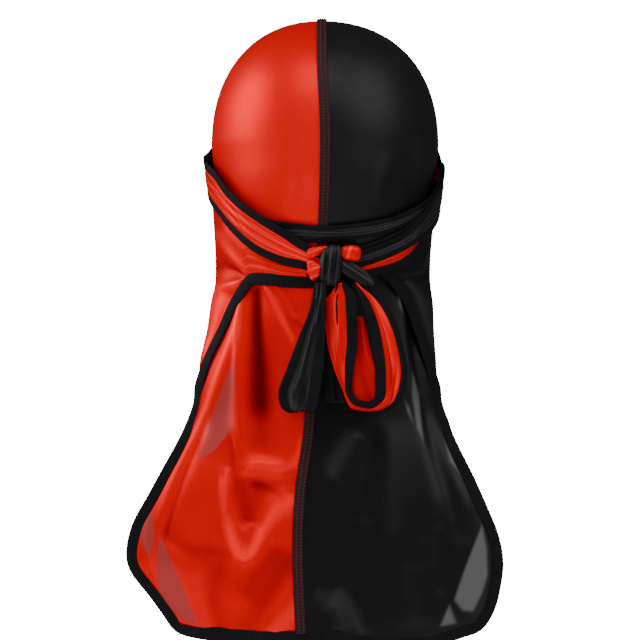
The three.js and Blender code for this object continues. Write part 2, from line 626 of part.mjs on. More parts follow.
function strap(name, rows, direction, paint) {
  const [first, last] = [rows[0].turn, rows[rows.length - 1].turn];
  const turnAt = (step) => mix(first, last, step / strapSteps);
  const cloth = [];
  const upper = [];
  const lower = [];
  for (let step = 0; step <= strapSteps; step += 1) {
    const at = (down, outward) => strapPlace(rows, direction, turnAt(step), down, outward);
    const share = Math.min(readTable(rows, 'turn', turnAt(step)).height / looseHeight, 1);
    const width = tapeWidth * share;
    cloth.push([at(0, width + clearance), at(0.5, 0), at(1, -width - clearance)]);
    const addTape = (places, middle, next) => {
      const sideways = next.point.clone().sub(middle.point).normalize();
      places.push({ point: middle.point, normal: middle.normal, sideways, share });
    };
    addTape(upper, at(0, width / 2), at(0, width / 2 + 1));
    addTape(lower, at(1, -width / 2), at(1, -width / 2 + 1));
  }
  return [
    named(name, sheet(cloth, clothThickness, everyCell), paint),
    named(`${name}_upper_binding`, tape(upper, tapeWidth, tapeThickness), tapeGrey),
    named(`${name}_lower_binding`, tape(lower, tapeWidth, tapeThickness), tapeGrey),
  ];
}

// The knot's middle, behind the nape and just outside the last wrap.
function knotMiddle() {
  const drop = napeDrop * 0.905;
  const back = liftedPoint(drop, 0, layerLift(2) + wrapPitch / 2 + knotDepth / 2).y;
  return new THREE.Vector3(knotPlaceAcross, back, -drop);
}

// A pillow: a rounded box with a pole at its front and back.
function pillow({ name, paint, x, z, w, h }) {
  const middle = knotMiddle().add(new THREE.Vector3(x * knotWidth, 0, z * knotHeight));
  const size = new THREE.Vector3(w * knotWidth - clearance, knotDepth, h * knotHeight - clearance);
  const geometry = new THREE.SphereGeometry(1, 12, 8);
  const place = geometry.attributes.position;
  const round = (value) => Math.sign(value) * Math.pow(Math.abs(value), 0.6);
  for (let k = 0; k < place.count; k += 1) {
    const [px, py, pz] = [place.getX(k), place.getY(k), place.getZ(k)].map((v) => round(v) / 2);
    place.setXYZ(k, middle.x + px * size.x, middle.y - pz * size.y, middle.z + py * size.z);
  }
  return named(name, geometry, paint);
}

// Where the bow's pieces leave the knot: just below its pillows.
const bowTop = () => knotMiddle().z - knotHeight / 2 - clearance / 2;

// A bow loop: a ribbon carried round a hanging teardrop, wider at the edge by the tail.
function bowLoop(name, rows, paint) {
  const middle = knotMiddle().y;
  const top = bowTop();
  const places = [];
  for (let step = 0; step <= bowSteps; step += 1) {
    const row = readTable(rows, 'round', step / bowSteps);
    const nearBack = middle + bowDepth * (0.8 * row.open + 0.05);
    const farBack = middle - bowDepth * (0.2 * row.open - 0.05);
    const near = new THREE.Vector3(row.nearX * bowWidth, nearBack, top - row.nearDown * bowLength);
    const far = new THREE.Vector3(row.farX * bowWidth, farBack, top - row.farDown * bowLength);
    places.push({ near, far });
  }
  const across = (k) => places[k].far.clone().sub(places[k].near).normalize();
  const normalAt = (k) => {
    const before = places[Math.max(k - 1, 0)];
    const after = places[Math.min(k + 1, bowSteps)];
    const along = after.near.clone().add(after.far).sub(before.near).sub(before.far);
    return along.cross(across(k)).normalize();
  };
  const cloth = [];
  const near = [];
  const far = [];
  for (let k = 0; k <= bowSteps; k += 1) {
    const normal = normalAt(k);
    const width = places[k].near.distanceTo(places[k].far);
    const share = Math.min(width / (4 * tapeWidth), 1);
    const taped = tapeWidth * share;
    const place = (point) => ({ point, normal, sideways: across(k), share });
    cloth.push([
      place(places[k].near.clone().addScaledVector(across(k), taped + clearance)),
      place(places[k].far.clone().addScaledVector(across(k), -taped - clearance)),
    ]);
    near.push(place(places[k].near.clone().addScaledVector(across(k), taped / 2)));
    far.push(place(places[k].far.clone().addScaledVector(across(k), -taped / 2)));
  }
  return [
    named(name, sheet(cloth, clothThickness, everyCell), paint),
    named(`${name}_near_binding`, tape(near, tapeWidth, tapeThickness), tapeGrey),
    named(`${name}_far_binding`, tape(far, tapeWidth, tapeThickness), tapeGrey),
  ];
}

// The free end of the black strap, a flat ribbon that hangs behind the bow beside the seam.
const endRows = [
  { down: 0, middle: -0.14, wide: 0.25, out: 0.42 },
  { down: 0.15, middle: -0.12, wide: 0.26, out: 0.2 },
  { down: 0.3, middle: -0.09, wide: 0.27, out: 0 },
  { down: 0.65, middle: -0.12, wide: 0.3, out: 0.02 },
  { down: 1, middle: -0.16, wide: 0.3, out: 0 },
];

function strapEnd(name, paint) {
  const middle = knotMiddle().y;
  const cloth = [];
  const tapes = [[], []];
  for (let step = 0; step <= bowSteps / 2; step += 1) {
    const row = readTable(endRows, 'down', step / (bowSteps / 2));
    const back = middle - bowDepth * (0.75 - row.out);
    const point = new THREE.Vector3(row.middle * bowWidth, back, bowTop() - row.down * bowLength * 0.93);
    const normal = new THREE.Vector3(0, 1, 0);
    const sideways = new THREE.Vector3(1, 0, 0);
    const half = (row.wide * bowWidth) / 2;
    const at = (across) => ({ point: point.clone().addScaledVector(sideways, across), normal, sideways });
    cloth.push([at(tapeWidth + clearance - half), at(half - tapeWidth - clearance)]);
    tapes[0].push(at(tapeWidth / 2 - half));
    tapes[1].push(at(half - tapeWidth / 2));
  }
  return [
    named(name, sheet(cloth, clothThickness, everyCell), paint),
    named(`${name}_left_binding`, tape(tapes[1], tapeWidth, tapeThickness), tapeGrey),
    named(`${name}_right_binding`, tape(tapes[0], tapeWidth, tapeThickness), tapeGrey),
  ];
}

const durag = new THREE.Group();
durag.add(panel('left_panel', 1, red));
durag.add(panel('right_panel', -1, black));
durag.add(centerSeam());
durag.add(frontBinding());
durag.add(drape('left_drape', leftDrapeRows, 1, red));
durag.add(drape('right_drape', rightDrapeRows, -1, black));
durag.add(tailBinding());
durag.add(...strap('left_strap', leftStrapRows, 1, red));
durag.add(...strap('right_strap', rightStrapRows, -1, black));
for (const row of knotRows) durag.add(pillow(row));
durag.add(...bowLoop('bow_loop_right', rightBowRows, red));
durag.add(...bowLoop('bow_loop_left', leftBowRows, black));
durag.add(...strapEnd('right_strap_end', black));

export default durag;
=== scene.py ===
"""A satin durag, half red and half black, as worn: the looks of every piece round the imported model.

Sizes are millimetres until a mesh is made. +Z is up, the forehead faces -Y and the tail hangs on
the +Y side. The camera looks at the tail's side, so it has the red half, at +X, on the left.
"""

from functools import partial

import bpy
import numpy as np
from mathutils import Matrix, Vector


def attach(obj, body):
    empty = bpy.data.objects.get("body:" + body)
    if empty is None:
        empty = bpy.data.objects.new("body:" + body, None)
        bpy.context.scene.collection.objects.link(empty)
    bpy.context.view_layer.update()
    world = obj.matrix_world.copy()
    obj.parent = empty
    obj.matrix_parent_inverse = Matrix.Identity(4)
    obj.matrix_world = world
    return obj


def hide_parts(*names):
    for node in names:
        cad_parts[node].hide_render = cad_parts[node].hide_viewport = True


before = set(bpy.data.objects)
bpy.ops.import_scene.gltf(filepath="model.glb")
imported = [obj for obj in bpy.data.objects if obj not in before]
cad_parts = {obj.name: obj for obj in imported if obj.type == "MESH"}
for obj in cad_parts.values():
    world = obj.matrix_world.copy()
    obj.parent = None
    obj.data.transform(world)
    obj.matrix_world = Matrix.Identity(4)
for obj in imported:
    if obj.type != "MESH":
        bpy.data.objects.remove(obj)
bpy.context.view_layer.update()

MM = 0.001

# The photograph's view. A point at x, y, z shows at the middle column minus x times the focal
# length over its distance, and lower the further it lies under the camera's height.
CAMERA_AWAY = 1600
CAMERA_HEIGHT = -204
IMAGE_SIZE = 640
MM_PER_PIXEL = 0.69
FOCAL_PIXELS = CAMERA_AWAY / MM_PER_PIXEL
MIDDLE_COLUMN = 325
SENSOR_MM = 36

# Crown, tail, cloth and strap sizes, as the model is built.
CROWN_WIDTH = 155.5
CROWN_DEPTH = 194
CROWN_HEIGHT = 86
CROWN_ROUNDNESS = 2.25
NAPE_DROP = 186
HEM_DROP = 425
LEFT_SPREAD = 124
RIGHT_SPREAD = 127
HEM_BACK_REACH = 91
SIDE_REACH = 40
SEAM_DRIFT = 18
CROWN_DRIFT = 2.2
DRAPE_BULGE = 4
CLOTH = 1.2
SEAM_WIDTH = 7
SEAM_THICKNESS = 1
TAPE_WIDTH = 5.5
TAPE_THICKNESS = 1.4
HEM_TAPE = 8
CLEARANCE = 0.3
STRAP_WIDTH = 23.5
WRAP_PITCH = 1.9
KNOT_WIDTH = 32
KNOT_HEIGHT = 23
KNOT_DEPTH = 14
KNOT_ACROSS = -5.5
BOW_LENGTH = 84
BOW_WIDTH = 56
BOW_DEPTH = 14
NAPE_WIDTH_SHARE = 0.87
NAPE_BACK_SHARE = 0.785
FOREHEAD_SHARE = 0.97
SIDE_ANGLE = 100
CROSSING_ANGLE = 84

# The satin itself is thinner than the model's walls.
SATIN = 0.7

# The seam's band rests on the satin, and its top is where the model's is.
SEAM_BAND = CLOTH / 2 + CLEARANCE + SEAM_THICKNESS - SATIN / 2

# How far up and down the cloth evens out its section, how much the hem rises to each corner, and the
# angle from which it rises there.
SECTION_REACH = 14
CORNER_RISE = 12
LEFT_CORNER_FROM = 10
RIGHT_CORNER_FROM = 60


def table(columns, *rows):
    """A table with named columns, each an array down the rows."""
    return dict(zip(columns.split(), np.array(rows, float).T))


NECK = table(
    "down width back side",
    (0, 1, 1, 0),
    (0.2, 0.965, 1, 0),
    (0.4, 0.935, 0.965, 0),
    (0.6, 0.9, 0.9, 0.04),
    (0.8, 0.875, 0.83, 0.14),
    (1, NAPE_WIDTH_SHARE, NAPE_BACK_SHARE, 0.3),
)
TAIL = table(
    "down left right back side drift edge",
    (0, 0.045, 0.03, 0, 0.3, 0.25, 0.84),
    (0.11, 0.12, 0.04, -0.05, 0.6, 0.35, 0.84),
    (0.22, 0.27, 0.075, 0, 0.85, 0.46, 0.84),
    (0.34, 0.34, 0.115, 0.1, 0.95, 0.55, 0.82),
    (0.42, 0.41, 0.23, 0.2, 0.9, 0.64, 0.66),
    (0.51, 0.56, 0.475, 0.34, 0.8, 0.82, 0.55),
    (0.6, 0.74, 0.73, 0.5, 0.65, 0.95, 0.48),
    (0.69, 0.94, 0.905, 0.65, 0.5, 1, 0.46),
    (0.77, 1, 1, 0.78, 0.42, 1, 0.45),
    (0.83, 0.78, 0.96, 0.85, 0.4, 0.97, 0.45),
    (0.9, 0.53, 0.885, 0.92, 0.4, 0.93, 0.45),
    (1, 0.29, 0.58, 1, 0.4, 0.86, 0.45),
)
RIM = table(
    "angle drop",
    (0, 0.8),
    (45, 0.76),
    (90, 0.675),
    (100, 0.65),
    (125, 0.59),
    (150, 0.54),
    (180, 0.52),
)
LEFT_DRAPE = table(
    "angle top bottom cover bulge",
    (0, 0.885, 0.949, 0.925, 0),
    (9, 0.865, 0.948, 0.911, 0),
    (20, 0.84, 0.945, 0.898, 0.1),
    (32, 0.8, 0.937, 0.866, 0.2),
    (42, 0.762, 0.937, 0.828, 0.25),
    (50, 0.728, 0.99, 0.79, 0.3),
    (58, 0.695, 1.07, 0.753, 0.4),
    (66, 0.655, 1.155, 0.71, 0.6),
    (74, 0.63, 1.245, 0.67, 0.8),
    (82, 0.59, 1.33, 0.64, 1),
    (89, 0.57, 1.345, 0.62, 1),
    (96, 0.56, 1.22, 0.6, 0.6),
    (102, 0.56, 1.08, 0.58, 0.3),
)
RIGHT_DRAPE = table(
    "angle top bottom cover bulge",
    (16, 0.76, 0.81, 0.96, 0),
    (24, 0.75, 0.85, 0.955, 0),
    (32, 0.74, 0.895, 0.945, 0),
    (41, 0.725, 0.93, 0.93, 0.1),
    (50, 0.7, 0.99, 0.915, 0.15),
    (58, 0.68, 1.07, 0.9, 0.2),
    (66, 0.655, 1.16, 0.87, 0.3),
    (74, 0.63, 1.25, 0.82, 0.3),
    (82, 0.6, 1.33, 0.76, 0.3),
    (89, 0.59, 1.34, 0.71, 0.25),
    (96, 0.58, 1.22, 0.66, 0.2),
    (102, 0.575, 1.08, 0.63, 0.15),
)
LEFT_STRAP = table(
    "turn middle height wrap",
    (-7, 0.914, 0.76, 1),
    (10, 0.903, 0.85, 1.25),
    (20, 0.892, 0.94, 2),
    (31, 0.872, 1.02, 2),
    (45, 0.838, 1.1, 2),
    (58, 0.782, 1.12, 2),
    (70, 0.7, 1.15, 2),
    (90, 0.605, 1.1, 2),
    (105, 0.53, 1, 2),
    (125, 0.433, 0.92, 2),
    (150, 0.363, 0.84, 2),
    (180, 0.339, 0.8, 2),
    (210, 0.363, 0.84, 2.4),
    (235, 0.443, 0.92, 3),
    (255, 0.526, 1, 3),
    (270, 0.562, 1.1, 3),
    (294, 0.632, 1.23, 3),
    (308, 0.707, 1.15, 3),
    (322, 0.7715, 1.15, 3),
    (340, 0.833, 1, 3),
    (351, 0.8645, 0.745, 3),
    (358, 0.884, 0.62, 2.8),
    (367, 0.905, 0.45, 2.5),
)
RIGHT_STRAP = table(
    "turn middle height wrap",
    (-76, 0.652, 0.42, 1.4),
    (-66, 0.6815, 0.42, 1.4),
    (-50, 0.7265, 0.42, 1.4),
    (-32, 0.7665, 0.42, 1.4),
    (-14.5, 0.785, 0.42, 1.3),
    (0, 0.794, 0.44, 1),
    (15, 0.789, 0.52, 1),
    (28, 0.777, 0.6, 2),
    (40, 0.753, 0.72, 2),
    (52, 0.704, 0.77, 2),
    (66, 0.634, 0.85, 2),
    (90, 0.555, 0.85, 2),
    (105, 0.53, 0.85, 2),
    (125, 0.522, 0.8, 2),
    (150, 0.487, 0.76, 2),
    (180, 0.46, 0.74, 2),
    (210, 0.487, 0.76, 3),
    (235, 0.522, 0.82, 3),
    (255, 0.56, 1, 3),
    (270, 0.615, 1.3, 3),
    (290, 0.7, 1.12, 3),
    (302, 0.757, 0.8, 3),
    (318, 0.82, 0.5, 3),
    (341, 0.877, 0.47, 3),
    (351, 0.89, 0.44, 2.6),
)
RIGHT_BOW = table(
    "round near_x near_down near_out far_x far_down far_out tuck",
    (0, -0.22, 0, 0.37, -0.13, 0, -0.03, 0),
    (0.1, -0.34, 0.14, 0.69, 0.0, 0.16, -0.11, 1),
    (0.25, -0.35, 0.45, 0.85, -0.02, 0.43, -0.15, 1),
    (0.36, -0.3, 0.68, 0.85, -0.1, 0.65, -0.15, 1),
    (0.44, -0.28, 0.82, 0.85, -0.2, 0.82, -0.15, 1),
    (0.5, -0.36, 0.91, 0.85, -0.31, 0.97, -0.15, 1),
    (0.56, -0.49, 0.93, 0.85, -0.6, 1, -0.15, 0.5),
    (0.63, -0.6, 0.85, 0.85, -0.86, 0.93, -0.15, 0),
    (0.73, -0.59, 0.64, 0.85, -0.95, 0.71, -0.15, 0),
    (0.83, -0.54, 0.41, 0.85, -0.87, 0.41, -0.15, 0),
    (0.93, -0.44, 0.16, 0.69, -0.66, 0.14, -0.11, 0),
    (1, -0.32, 0, 0.37, -0.38, 0, -0.03, 0),
)
LEFT_BOW = table(
    "round near_x near_down near_out far_x far_down far_out tuck",
    (0, 0.0, 0, 0.4, 0.12, 0, 0.2, 0),
    (0.12, 0.0, 0.2, 0.75, 0.17, 0.18, 0.45, 0),
    (0.25, 0.02, 0.46, 0.85, 0.31, 0.43, 0.5, 0),
    (0.36, 0.05, 0.7, 0.85, 0.45, 0.68, 0.5, 0),
    (0.44, 0.09, 0.88, 0.85, 0.54, 0.86, 0.45, 0),
    (0.5, 0.14, 0.98, 0.7, 0.5, 0.96, 0.35, 0),
    (0.56, 0.16, 0.98, 0.4, 0.42, 1, 0.15, 0),
    (0.64, 0.14, 0.9, 0.15, 0.4, 0.92, -0.1, 0),
    (0.77, 0.12, 0.67, 0.0, 0.32, 0.67, -0.15, 0),
    (0.9, 0.08, 0.32, 0.0, 0.2, 0.32, -0.15, 0),
    (1, 0.06, 0, 0.1, 0.12, 0, -0.05, 0),
)
STRAP_END = table(
    "down middle wide out",
    (0, -0.14, 0.25, 0.42),
    (0.15, -0.12, 0.26, 0.2),
    (0.3, -0.09, 0.27, 0),
    (0.65, -0.12, 0.3, 0.02),
    (1, -0.16, 0.3, 0),
)


def bend(deep, *places):
    """A fold: how far it stands out, and the bent line that it follows in the photograph's pixels."""
    return {"deep": deep, "line": table("px py wide", *places)}


# Folds of the red half of the tail.
RED_FOLDS = [
    bend(4.5, (248, 262, 4), (242, 300, 4), (238, 340, 4), (236, 380, 4), (236, 420, 4), (240, 462, 5)),
    bend(-3.4, (254, 262, 4), (256, 305, 6), (258, 350, 8), (259, 385, 9), (260, 430, 10)),
    bend(-2.6, (254, 270, 4), (257, 340, 8), (260, 410, 12), (264, 475, 15)),
    bend(4.5, (258, 268, 3), (272, 298, 3), (284, 320, 4), (302, 352, 4)),
    bend(3.5, (270, 272, 3), (284, 296, 3), (298, 320, 3)),
    bend(-2.5, (272, 282, 4), (288, 308, 4), (306, 336, 5)),
    bend(-2.5, (238, 325, 3), (230, 385, 8), (218, 430, 12), (200, 470, 10)),
    bend(4, (244, 296, 4), (228, 352, 5), (209, 405, 6), (190, 450, 6), (172, 492, 6), (154, 545, 5)),
    bend(-4, (212, 408, 3), (188, 464, 5), (170, 512, 5), (160, 560, 4)),
    bend(4.4, (236, 475, 5), (248, 466, 5), (261, 464, 5), (275, 467, 6), (288, 467, 6), (298, 457, 6),
         (304, 442, 8), (308, 424, 9)),
    bend(-3, (246, 486, 6), (264, 483, 7), (284, 486, 8), (304, 478, 8)),
    bend(5.4, (227, 464, 5), (225, 496, 5), (229, 528, 6), (237, 550, 6), (246, 559, 5), (257, 562, 5)),
    bend(6, (240, 562, 4), (251, 554, 5), (260, 536, 6), (270, 517, 9), (284, 504, 11), (304, 488, 12)),
    bend(-2.6, (240, 470, 8), (243, 505, 9), (248, 534, 7)),
    bend(-2.6, (274, 484, 12), (262, 502, 12), (252, 528, 8)),
    bend(-2, (231, 425, 3), (233, 475, 4), (226, 530, 4)),
    bend(-2.5, (162, 538, 8), (196, 550, 9), (234, 552, 8)),
    bend(2.5, (162, 530, 6), (180, 580, 8), (204, 640, 8)),
    bend(2.5, (146, 512, 5), (154, 560, 6), (180, 616, 6)),
    bend(-2.8, (302, 540, 9), (272, 590, 12), (240, 640, 12)),
    bend(-2, (284, 540, 8), (262, 566, 10), (238, 600, 12)),
    bend(4.5, (312, 585, 9), (288, 618, 12), (255, 645, 10)),
    bend(-2.2, (222, 556, 9), (212, 595, 10), (224, 640, 9)),
]

# Folds of the black half of the tail.
BLACK_FOLDS = [
    bend(4, (356, 428, 9), (340, 456, 11), (326, 478, 9)),
    bend(-3, (372, 424, 8), (368, 476, 11), (360, 530, 12)),
    bend(3, (388, 418, 9), (388, 480, 11), (392, 550, 13)),
    bend(4, (396, 282, 5), (402, 330, 6), (408, 372, 6), (420, 430, 8), (436, 490, 10), (446, 540, 11)),
    bend(-4, (404, 284, 5), (412, 340, 5), (420, 392, 6), (433, 452, 7), (452, 508, 8), (462, 548, 8)),
    bend(3.4, (415, 290, 5), (423, 350, 5), (430, 400, 6), (444, 452, 7), (464, 505, 8), (470, 540, 8)),
    bend(-3, (436, 520, 8), (440, 570, 10), (444, 600, 8)),
    bend(3.4, (484, 512, 5), (487, 556, 8), (480, 596, 8), (462, 618, 6)),
    bend(3.2, (306, 590, 7), (326, 596, 7), (337, 610, 7), (344, 634, 7)),
    bend(3.2, (332, 588, 7), (347, 604, 7), (358, 622, 7), (366, 638, 7)),
    bend(-2.4, (326, 606, 5), (333, 622, 6), (336, 636, 6)),
    bend(-2, (340, 500, 12), (352, 548, 14), (372, 585, 12)),
    bend(2.2, (408, 560, 12), (412, 596, 13), (416, 630, 12)),
]

# Places where the cloth lies in one layer and lets the light behind it through, painted paler
# there as painted light: the corners of each in the photograph's pixels, in turn.
RED_THIN = [
    [(235, 350), (235, 400), (233, 430), (214, 452), (196, 462), (206, 425), (222, 385)],
    [(152, 505), (155, 530), (152, 560), (145, 552), (139, 538), (143, 520)],
    [(160, 533), (180, 578), (201, 629), (177, 617), (163, 600), (156, 578), (156, 552)],
    [(188, 436), (181, 458), (168, 480), (176, 455)],
]
BLACK_THIN = [
    [(394, 280), (400, 296), (404, 318), (398, 306)],
    [(403, 396), (410, 408), (414, 426), (406, 412)],
    [(411, 366), (419, 395), (424, 446), (416, 428), (411, 396)],
    [(440, 430), (449, 446), (461, 477), (449, 462)],
    [(482, 522), (487, 548), (488, 575), (483, 592), (473, 612), (462, 611), (453, 600), (458, 585),
     (467, 560)],
    [(449, 603), (457, 624), (439, 627), (444, 614)],
]

# Folds of the crown's black side, drawn up from the straps.
CROWN_FOLDS = [
    bend(0.8, (372, 206, 4), (378, 178, 5), (388, 150, 6)),
    bend(-0.7, (384, 206, 4), (390, 180, 4), (398, 156, 5)),
    bend(0.7, (412, 188, 4), (416, 160, 5), (418, 130, 6)),
    bend(0.5, (334, 40, 3), (346, 37, 3), (362, 40, 4)),
    bend(0.5, (331, 58, 3), (342, 55, 3), (352, 57, 3)),
    bend(0.5, (282, 218, 4), (286, 196, 5), (292, 170, 6)),
    bend(0.4, (308, 210, 4), (307, 190, 5), (304, 170, 5)),
]

# Folds of the strap roots and side drapes.
LEFT_DRAPE_FOLDS = [
    bend(2.2, (206, 296, 4), (226, 288, 4), (250, 279, 3)),
    bend(2, (218, 226, 4), (231, 254, 4), (250, 277, 3)),
    bend(-2.6, (208, 262, 9), (230, 270, 6), (248, 279, 3)),
    bend(-1.6, (214, 236, 4), (226, 258, 4), (244, 276, 3)),
    bend(2.4, (222, 286, 4), (212, 330, 4), (200, 392, 4)),
    bend(-2, (238, 288, 5), (224, 330, 5), (206, 388, 5)),
]
RIGHT_DRAPE_FOLDS = [
    bend(1.6, (392, 276, 4), (418, 262, 5), (440, 242, 6)),
    bend(-1.5, (396, 280, 4), (420, 276, 5), (440, 266, 6)),
    bend(1.8, (402, 272, 5), (420, 306, 6), (430, 345, 7), (436, 400, 6)),
    bend(-1.4, (400, 278, 4), (414, 325, 5), (428, 390, 5)),
]


def mix(a, b, share):
    return a + (b - a) * share


def smooth(start, end, value):
    """0 before start, 1 after end and a smooth step between."""
    t = np.clip((value - start) / (end - start), 0, 1)
    return t * t * (3 - 2 * t)


def unit(vectors):
    return vectors / np.maximum(np.linalg.norm(vectors, axis=-1, keepdims=True), 1e-9)


def read_table(rows, column, key, place):
    """Reads a column at many places: cubic pieces through the rows, whose slopes are the harmonic
    means of the rises on both sides, so that no row is overshot."""
    keys, values = rows[key], rows[column]
    at = np.clip(place, keys[0], keys[-1])
    k = np.clip(np.searchsorted(keys, at) - 1, 0, len(keys) - 2)
    span = np.diff(keys)
    rise = np.diff(values) / span
    before, after = rise[:-1], rise[1:]
    same_way = before * after > 0
    total = np.where(same_way, before + after, 1)
    inner = np.where(same_way, 2 * before * after / total, 0)
    slope = np.concatenate([rise[:1], inner, rise[-1:]])
    t = (at - keys[k]) / span[k]
    push = (1 - t) ** 2 * t * span[k] * slope[k]
    pull = t**2 * (1 - t) * span[k] * slope[k + 1]
    return values[k] * (1 + 2 * t) * (1 - t) ** 2 + values[k + 1] * t**2 * (3 - 2 * t) + push - pull


def section(drop, left_side):
    """Half width, back, side, front, drift and edge at each drop. Over the crown the share of the
    full width is the root of one minus the rise to the power of the crown's roundness. Below it the
    neck's rows hold, and from the nape the tail's rows."""
    half, deep = CROWN_WIDTH / 2, CROWN_DEPTH / 2
    rise = np.clip(1 - np.maximum(drop, 0) / CROWN_HEIGHT, 0, 1)
    share = (1 - rise**CROWN_ROUNDNESS) ** (1 / CROWN_ROUNDNESS)
    neck_share = np.clip((drop - CROWN_HEIGHT) / (NAPE_DROP - CROWN_HEIGHT), 0, 1)
    tail_share = (drop - NAPE_DROP) / (HEM_DROP - HEM_TAPE - NAPE_DROP)
    on_crown = drop <= CROWN_HEIGHT
    on_tail = drop > NAPE_DROP
    neck = {c: read_table(NECK, c, "down", neck_share) for c in ("width", "back", "side")}
    tail = {c: read_table(TAIL, c, "down", tail_share) for c in TAIL if c != "down"}
    spread = np.where(left_side, LEFT_SPREAD, RIGHT_SPREAD) - HEM_TAPE
    flare = mix(half * NAPE_WIDTH_SHARE, spread, np.where(left_side, tail["left"], tail["right"]))
    crown_drift = CROWN_DRIFT * (1 - smooth(CROWN_HEIGHT / 3, CROWN_HEIGHT, drop))
    neck_drift = SEAM_DRIFT * TAIL["drift"][0] * neck_share**2

    def pick(crown, below, tail_value):
        return np.where(on_crown, crown, np.where(on_tail, tail_value, below))

    tail_half = flare / np.sin(np.radians(SIDE_ANGLE * tail["edge"]))
    tail_back = mix(deep * NAPE_BACK_SHARE, HEM_BACK_REACH, tail["back"])
    return {
        "half": pick(half * share, half * neck["width"], tail_half),
        "back": pick(deep * share, deep * neck["back"], tail_back),
        "front": pick(deep * share, deep * mix(1, FOREHEAD_SHARE, neck_share), deep * FOREHEAD_SHARE),
        "side": pick(0, SIDE_REACH * neck["side"], SIDE_REACH * tail["side"]),
        "drift": pick(crown_drift, neck_drift, SEAM_DRIFT * tail["drift"]),
        "edge": pick(1, 1, tail["edge"]),
    }


def soften_sections(left_side):
    """The sections below the crown at close drops, each as a weighted mean over a short way up and
    down, so that no crease runs round the nape."""
    drop = np.arange(CROWN_HEIGHT, HEM_DROP + 2 * SECTION_REACH, 0.5)
    reach = SECTION_REACH * smooth(CROWN_HEIGHT, CROWN_HEIGHT + 3 * SECTION_REACH, drop)
    ways = np.linspace(-1, 1, 25)
    weights = 1 + np.cos(np.pi * ways)
    parts = [section(drop + reach * way, left_side) for way in ways]
    softened = {c: np.average([part[c] for part in parts], axis=0, weights=weights) for c in parts[0]}
    return {"drop": drop, **softened}


LEFT_SECTIONS = soften_sections(True)
RIGHT_SECTIONS = soften_sections(False)


def soft_section(drop, left_side):
    """The section over the crown, and the softened one below it."""
    exact = section(drop, left_side)
    softened = {}
    for column, value in exact.items():
        left = np.interp(drop, LEFT_SECTIONS["drop"], LEFT_SECTIONS[column])
        right = np.interp(drop, RIGHT_SECTIONS["drop"], RIGHT_SECTIONS[column])
        softened[column] = np.where(drop <= CROWN_HEIGHT, value, np.where(left_side, left, right))
    return softened


def surface_point(drop, angle):
    """A point of the cloth, by its drop below the crown's top and its angle round the crown from the
    back: across is the half width times the sine, and back the reach times the cosine."""
    drop, angle = np.broadcast_arrays(np.asarray(drop, float), np.asarray(angle, float))
    s = soft_section(drop, angle >= 0)
    turn = np.radians(angle)
    reach = np.where(np.cos(turn) > 0, s["back"] - s["side"], s["front"] + s["side"])
    at_top = np.exp(-drop / (CROWN_HEIGHT / 8))
    drift = s["drift"] * mix(np.cos(turn) ** 2, 1, at_top)
    across = s["half"] * np.sin(turn) + drift
    return np.stack([across, s["side"] + reach * np.cos(turn), CLOTH / 2 - drop], -1)


def surface_normal(drop, angle):
    """The way out of the cloth: a short step round crossed with a short step down."""
    drop, angle = np.broadcast_arrays(np.asarray(drop, float), np.asarray(angle, float))
    step = 0.5
    inside = np.where(angle >= 0, np.maximum(angle, step), np.minimum(angle, -step))
    around = surface_point(drop, inside + step) - surface_point(drop, inside - step)
    down = surface_point(drop + step, angle) - surface_point(np.maximum(drop - step, 0), angle)
    normal = unit(np.cross(around, down))
    middle = (np.abs(angle) < step) | (np.abs(angle) > 180 - step)
    normal[..., 0] = np.where(middle, 0, normal[..., 0])
    normal[drop < step / 10] = (0, 0, 1)
    return unit(normal)


def lifted_point(drop, angle, lift):
    return surface_point(drop, angle) + surface_normal(drop, angle) * np.asarray(lift)[..., None]


def layer_lift(wrap):
    """How far out the middle of a wrapped layer lies, counted from the cap's cloth."""
    return CLOTH + SEAM_THICKNESS + CLEARANCE + (wrap - 0.8) * WRAP_PITCH


# A fold's line is divided into this many spots, the fold fades out over this share of it at both
# ends, and its bell is this much wider than its width.
LINE_SPOTS = 18
FOLD_ENDS = 0.18
FOLD_SPREAD = 1.7

# A thin place's edge softens from this far outside it to this far inside, in pixels.
THIN_OUTSIDE = 0.8
THIN_INSIDE = 2.5

# Slow ripples of the cloth: their height, how many sines they add up, and the sines' shortest and
# longest waves.
RIPPLE_HEIGHT = 0.25
RIPPLE_SINES = 6
RIPPLE_LENGTHS = (45, 90)


def path_length(path):
    """How far each point lies along its path."""
    steps = np.linalg.norm(np.diff(path, axis=0), axis=1)
    return np.concatenate([[0], np.cumsum(steps)])


def photo_place(point):
    """Column and row of the photograph where a point shows."""
    scale = FOCAL_PIXELS / (CAMERA_AWAY - point[..., 1])
    column = MIDDLE_COLUMN - point[..., 0] * scale
    row = IMAGE_SIZE / 2 - (point[..., 2] - CAMERA_HEIGHT) * scale
    return np.stack([column, row], -1)


def bent_line(line):
    """A smooth line of spots through a fold's places, each with its width."""
    far = path_length(np.stack([line["px"], line["py"]], -1))
    rows = {**line, "far": far}
    at = np.linspace(0, far[-1], LINE_SPOTS)
    return np.stack([read_table(rows, c, "far", at) for c in ("px", "py", "wide")], -1)


def line_distance(place, line):
    """How far each place lies from a bent line, in the line's own width there, and how far along
    the line its nearest spot is, from 0 to 1."""
    spots = bent_line(line)
    nearest = np.full(place.shape[:-1], np.inf)
    nearest_along = np.zeros(place.shape[:-1])
    for k in range(len(spots) - 1):
        way = spots[k + 1, :2] - spots[k, :2]
        along = np.clip((place - spots[k, :2]) @ way / (way @ way), 0, 1)
        apart = np.linalg.norm(place - spots[k, :2] - along[..., None] * way, axis=-1)
        apart = apart / mix(spots[k, 2], spots[k + 1, 2], along)
        closer = apart < nearest
        nearest = np.where(closer, apart, nearest)
        nearest_along = np.where(closer, (k + along) / (len(spots) - 1), nearest_along)
    return nearest, nearest_along


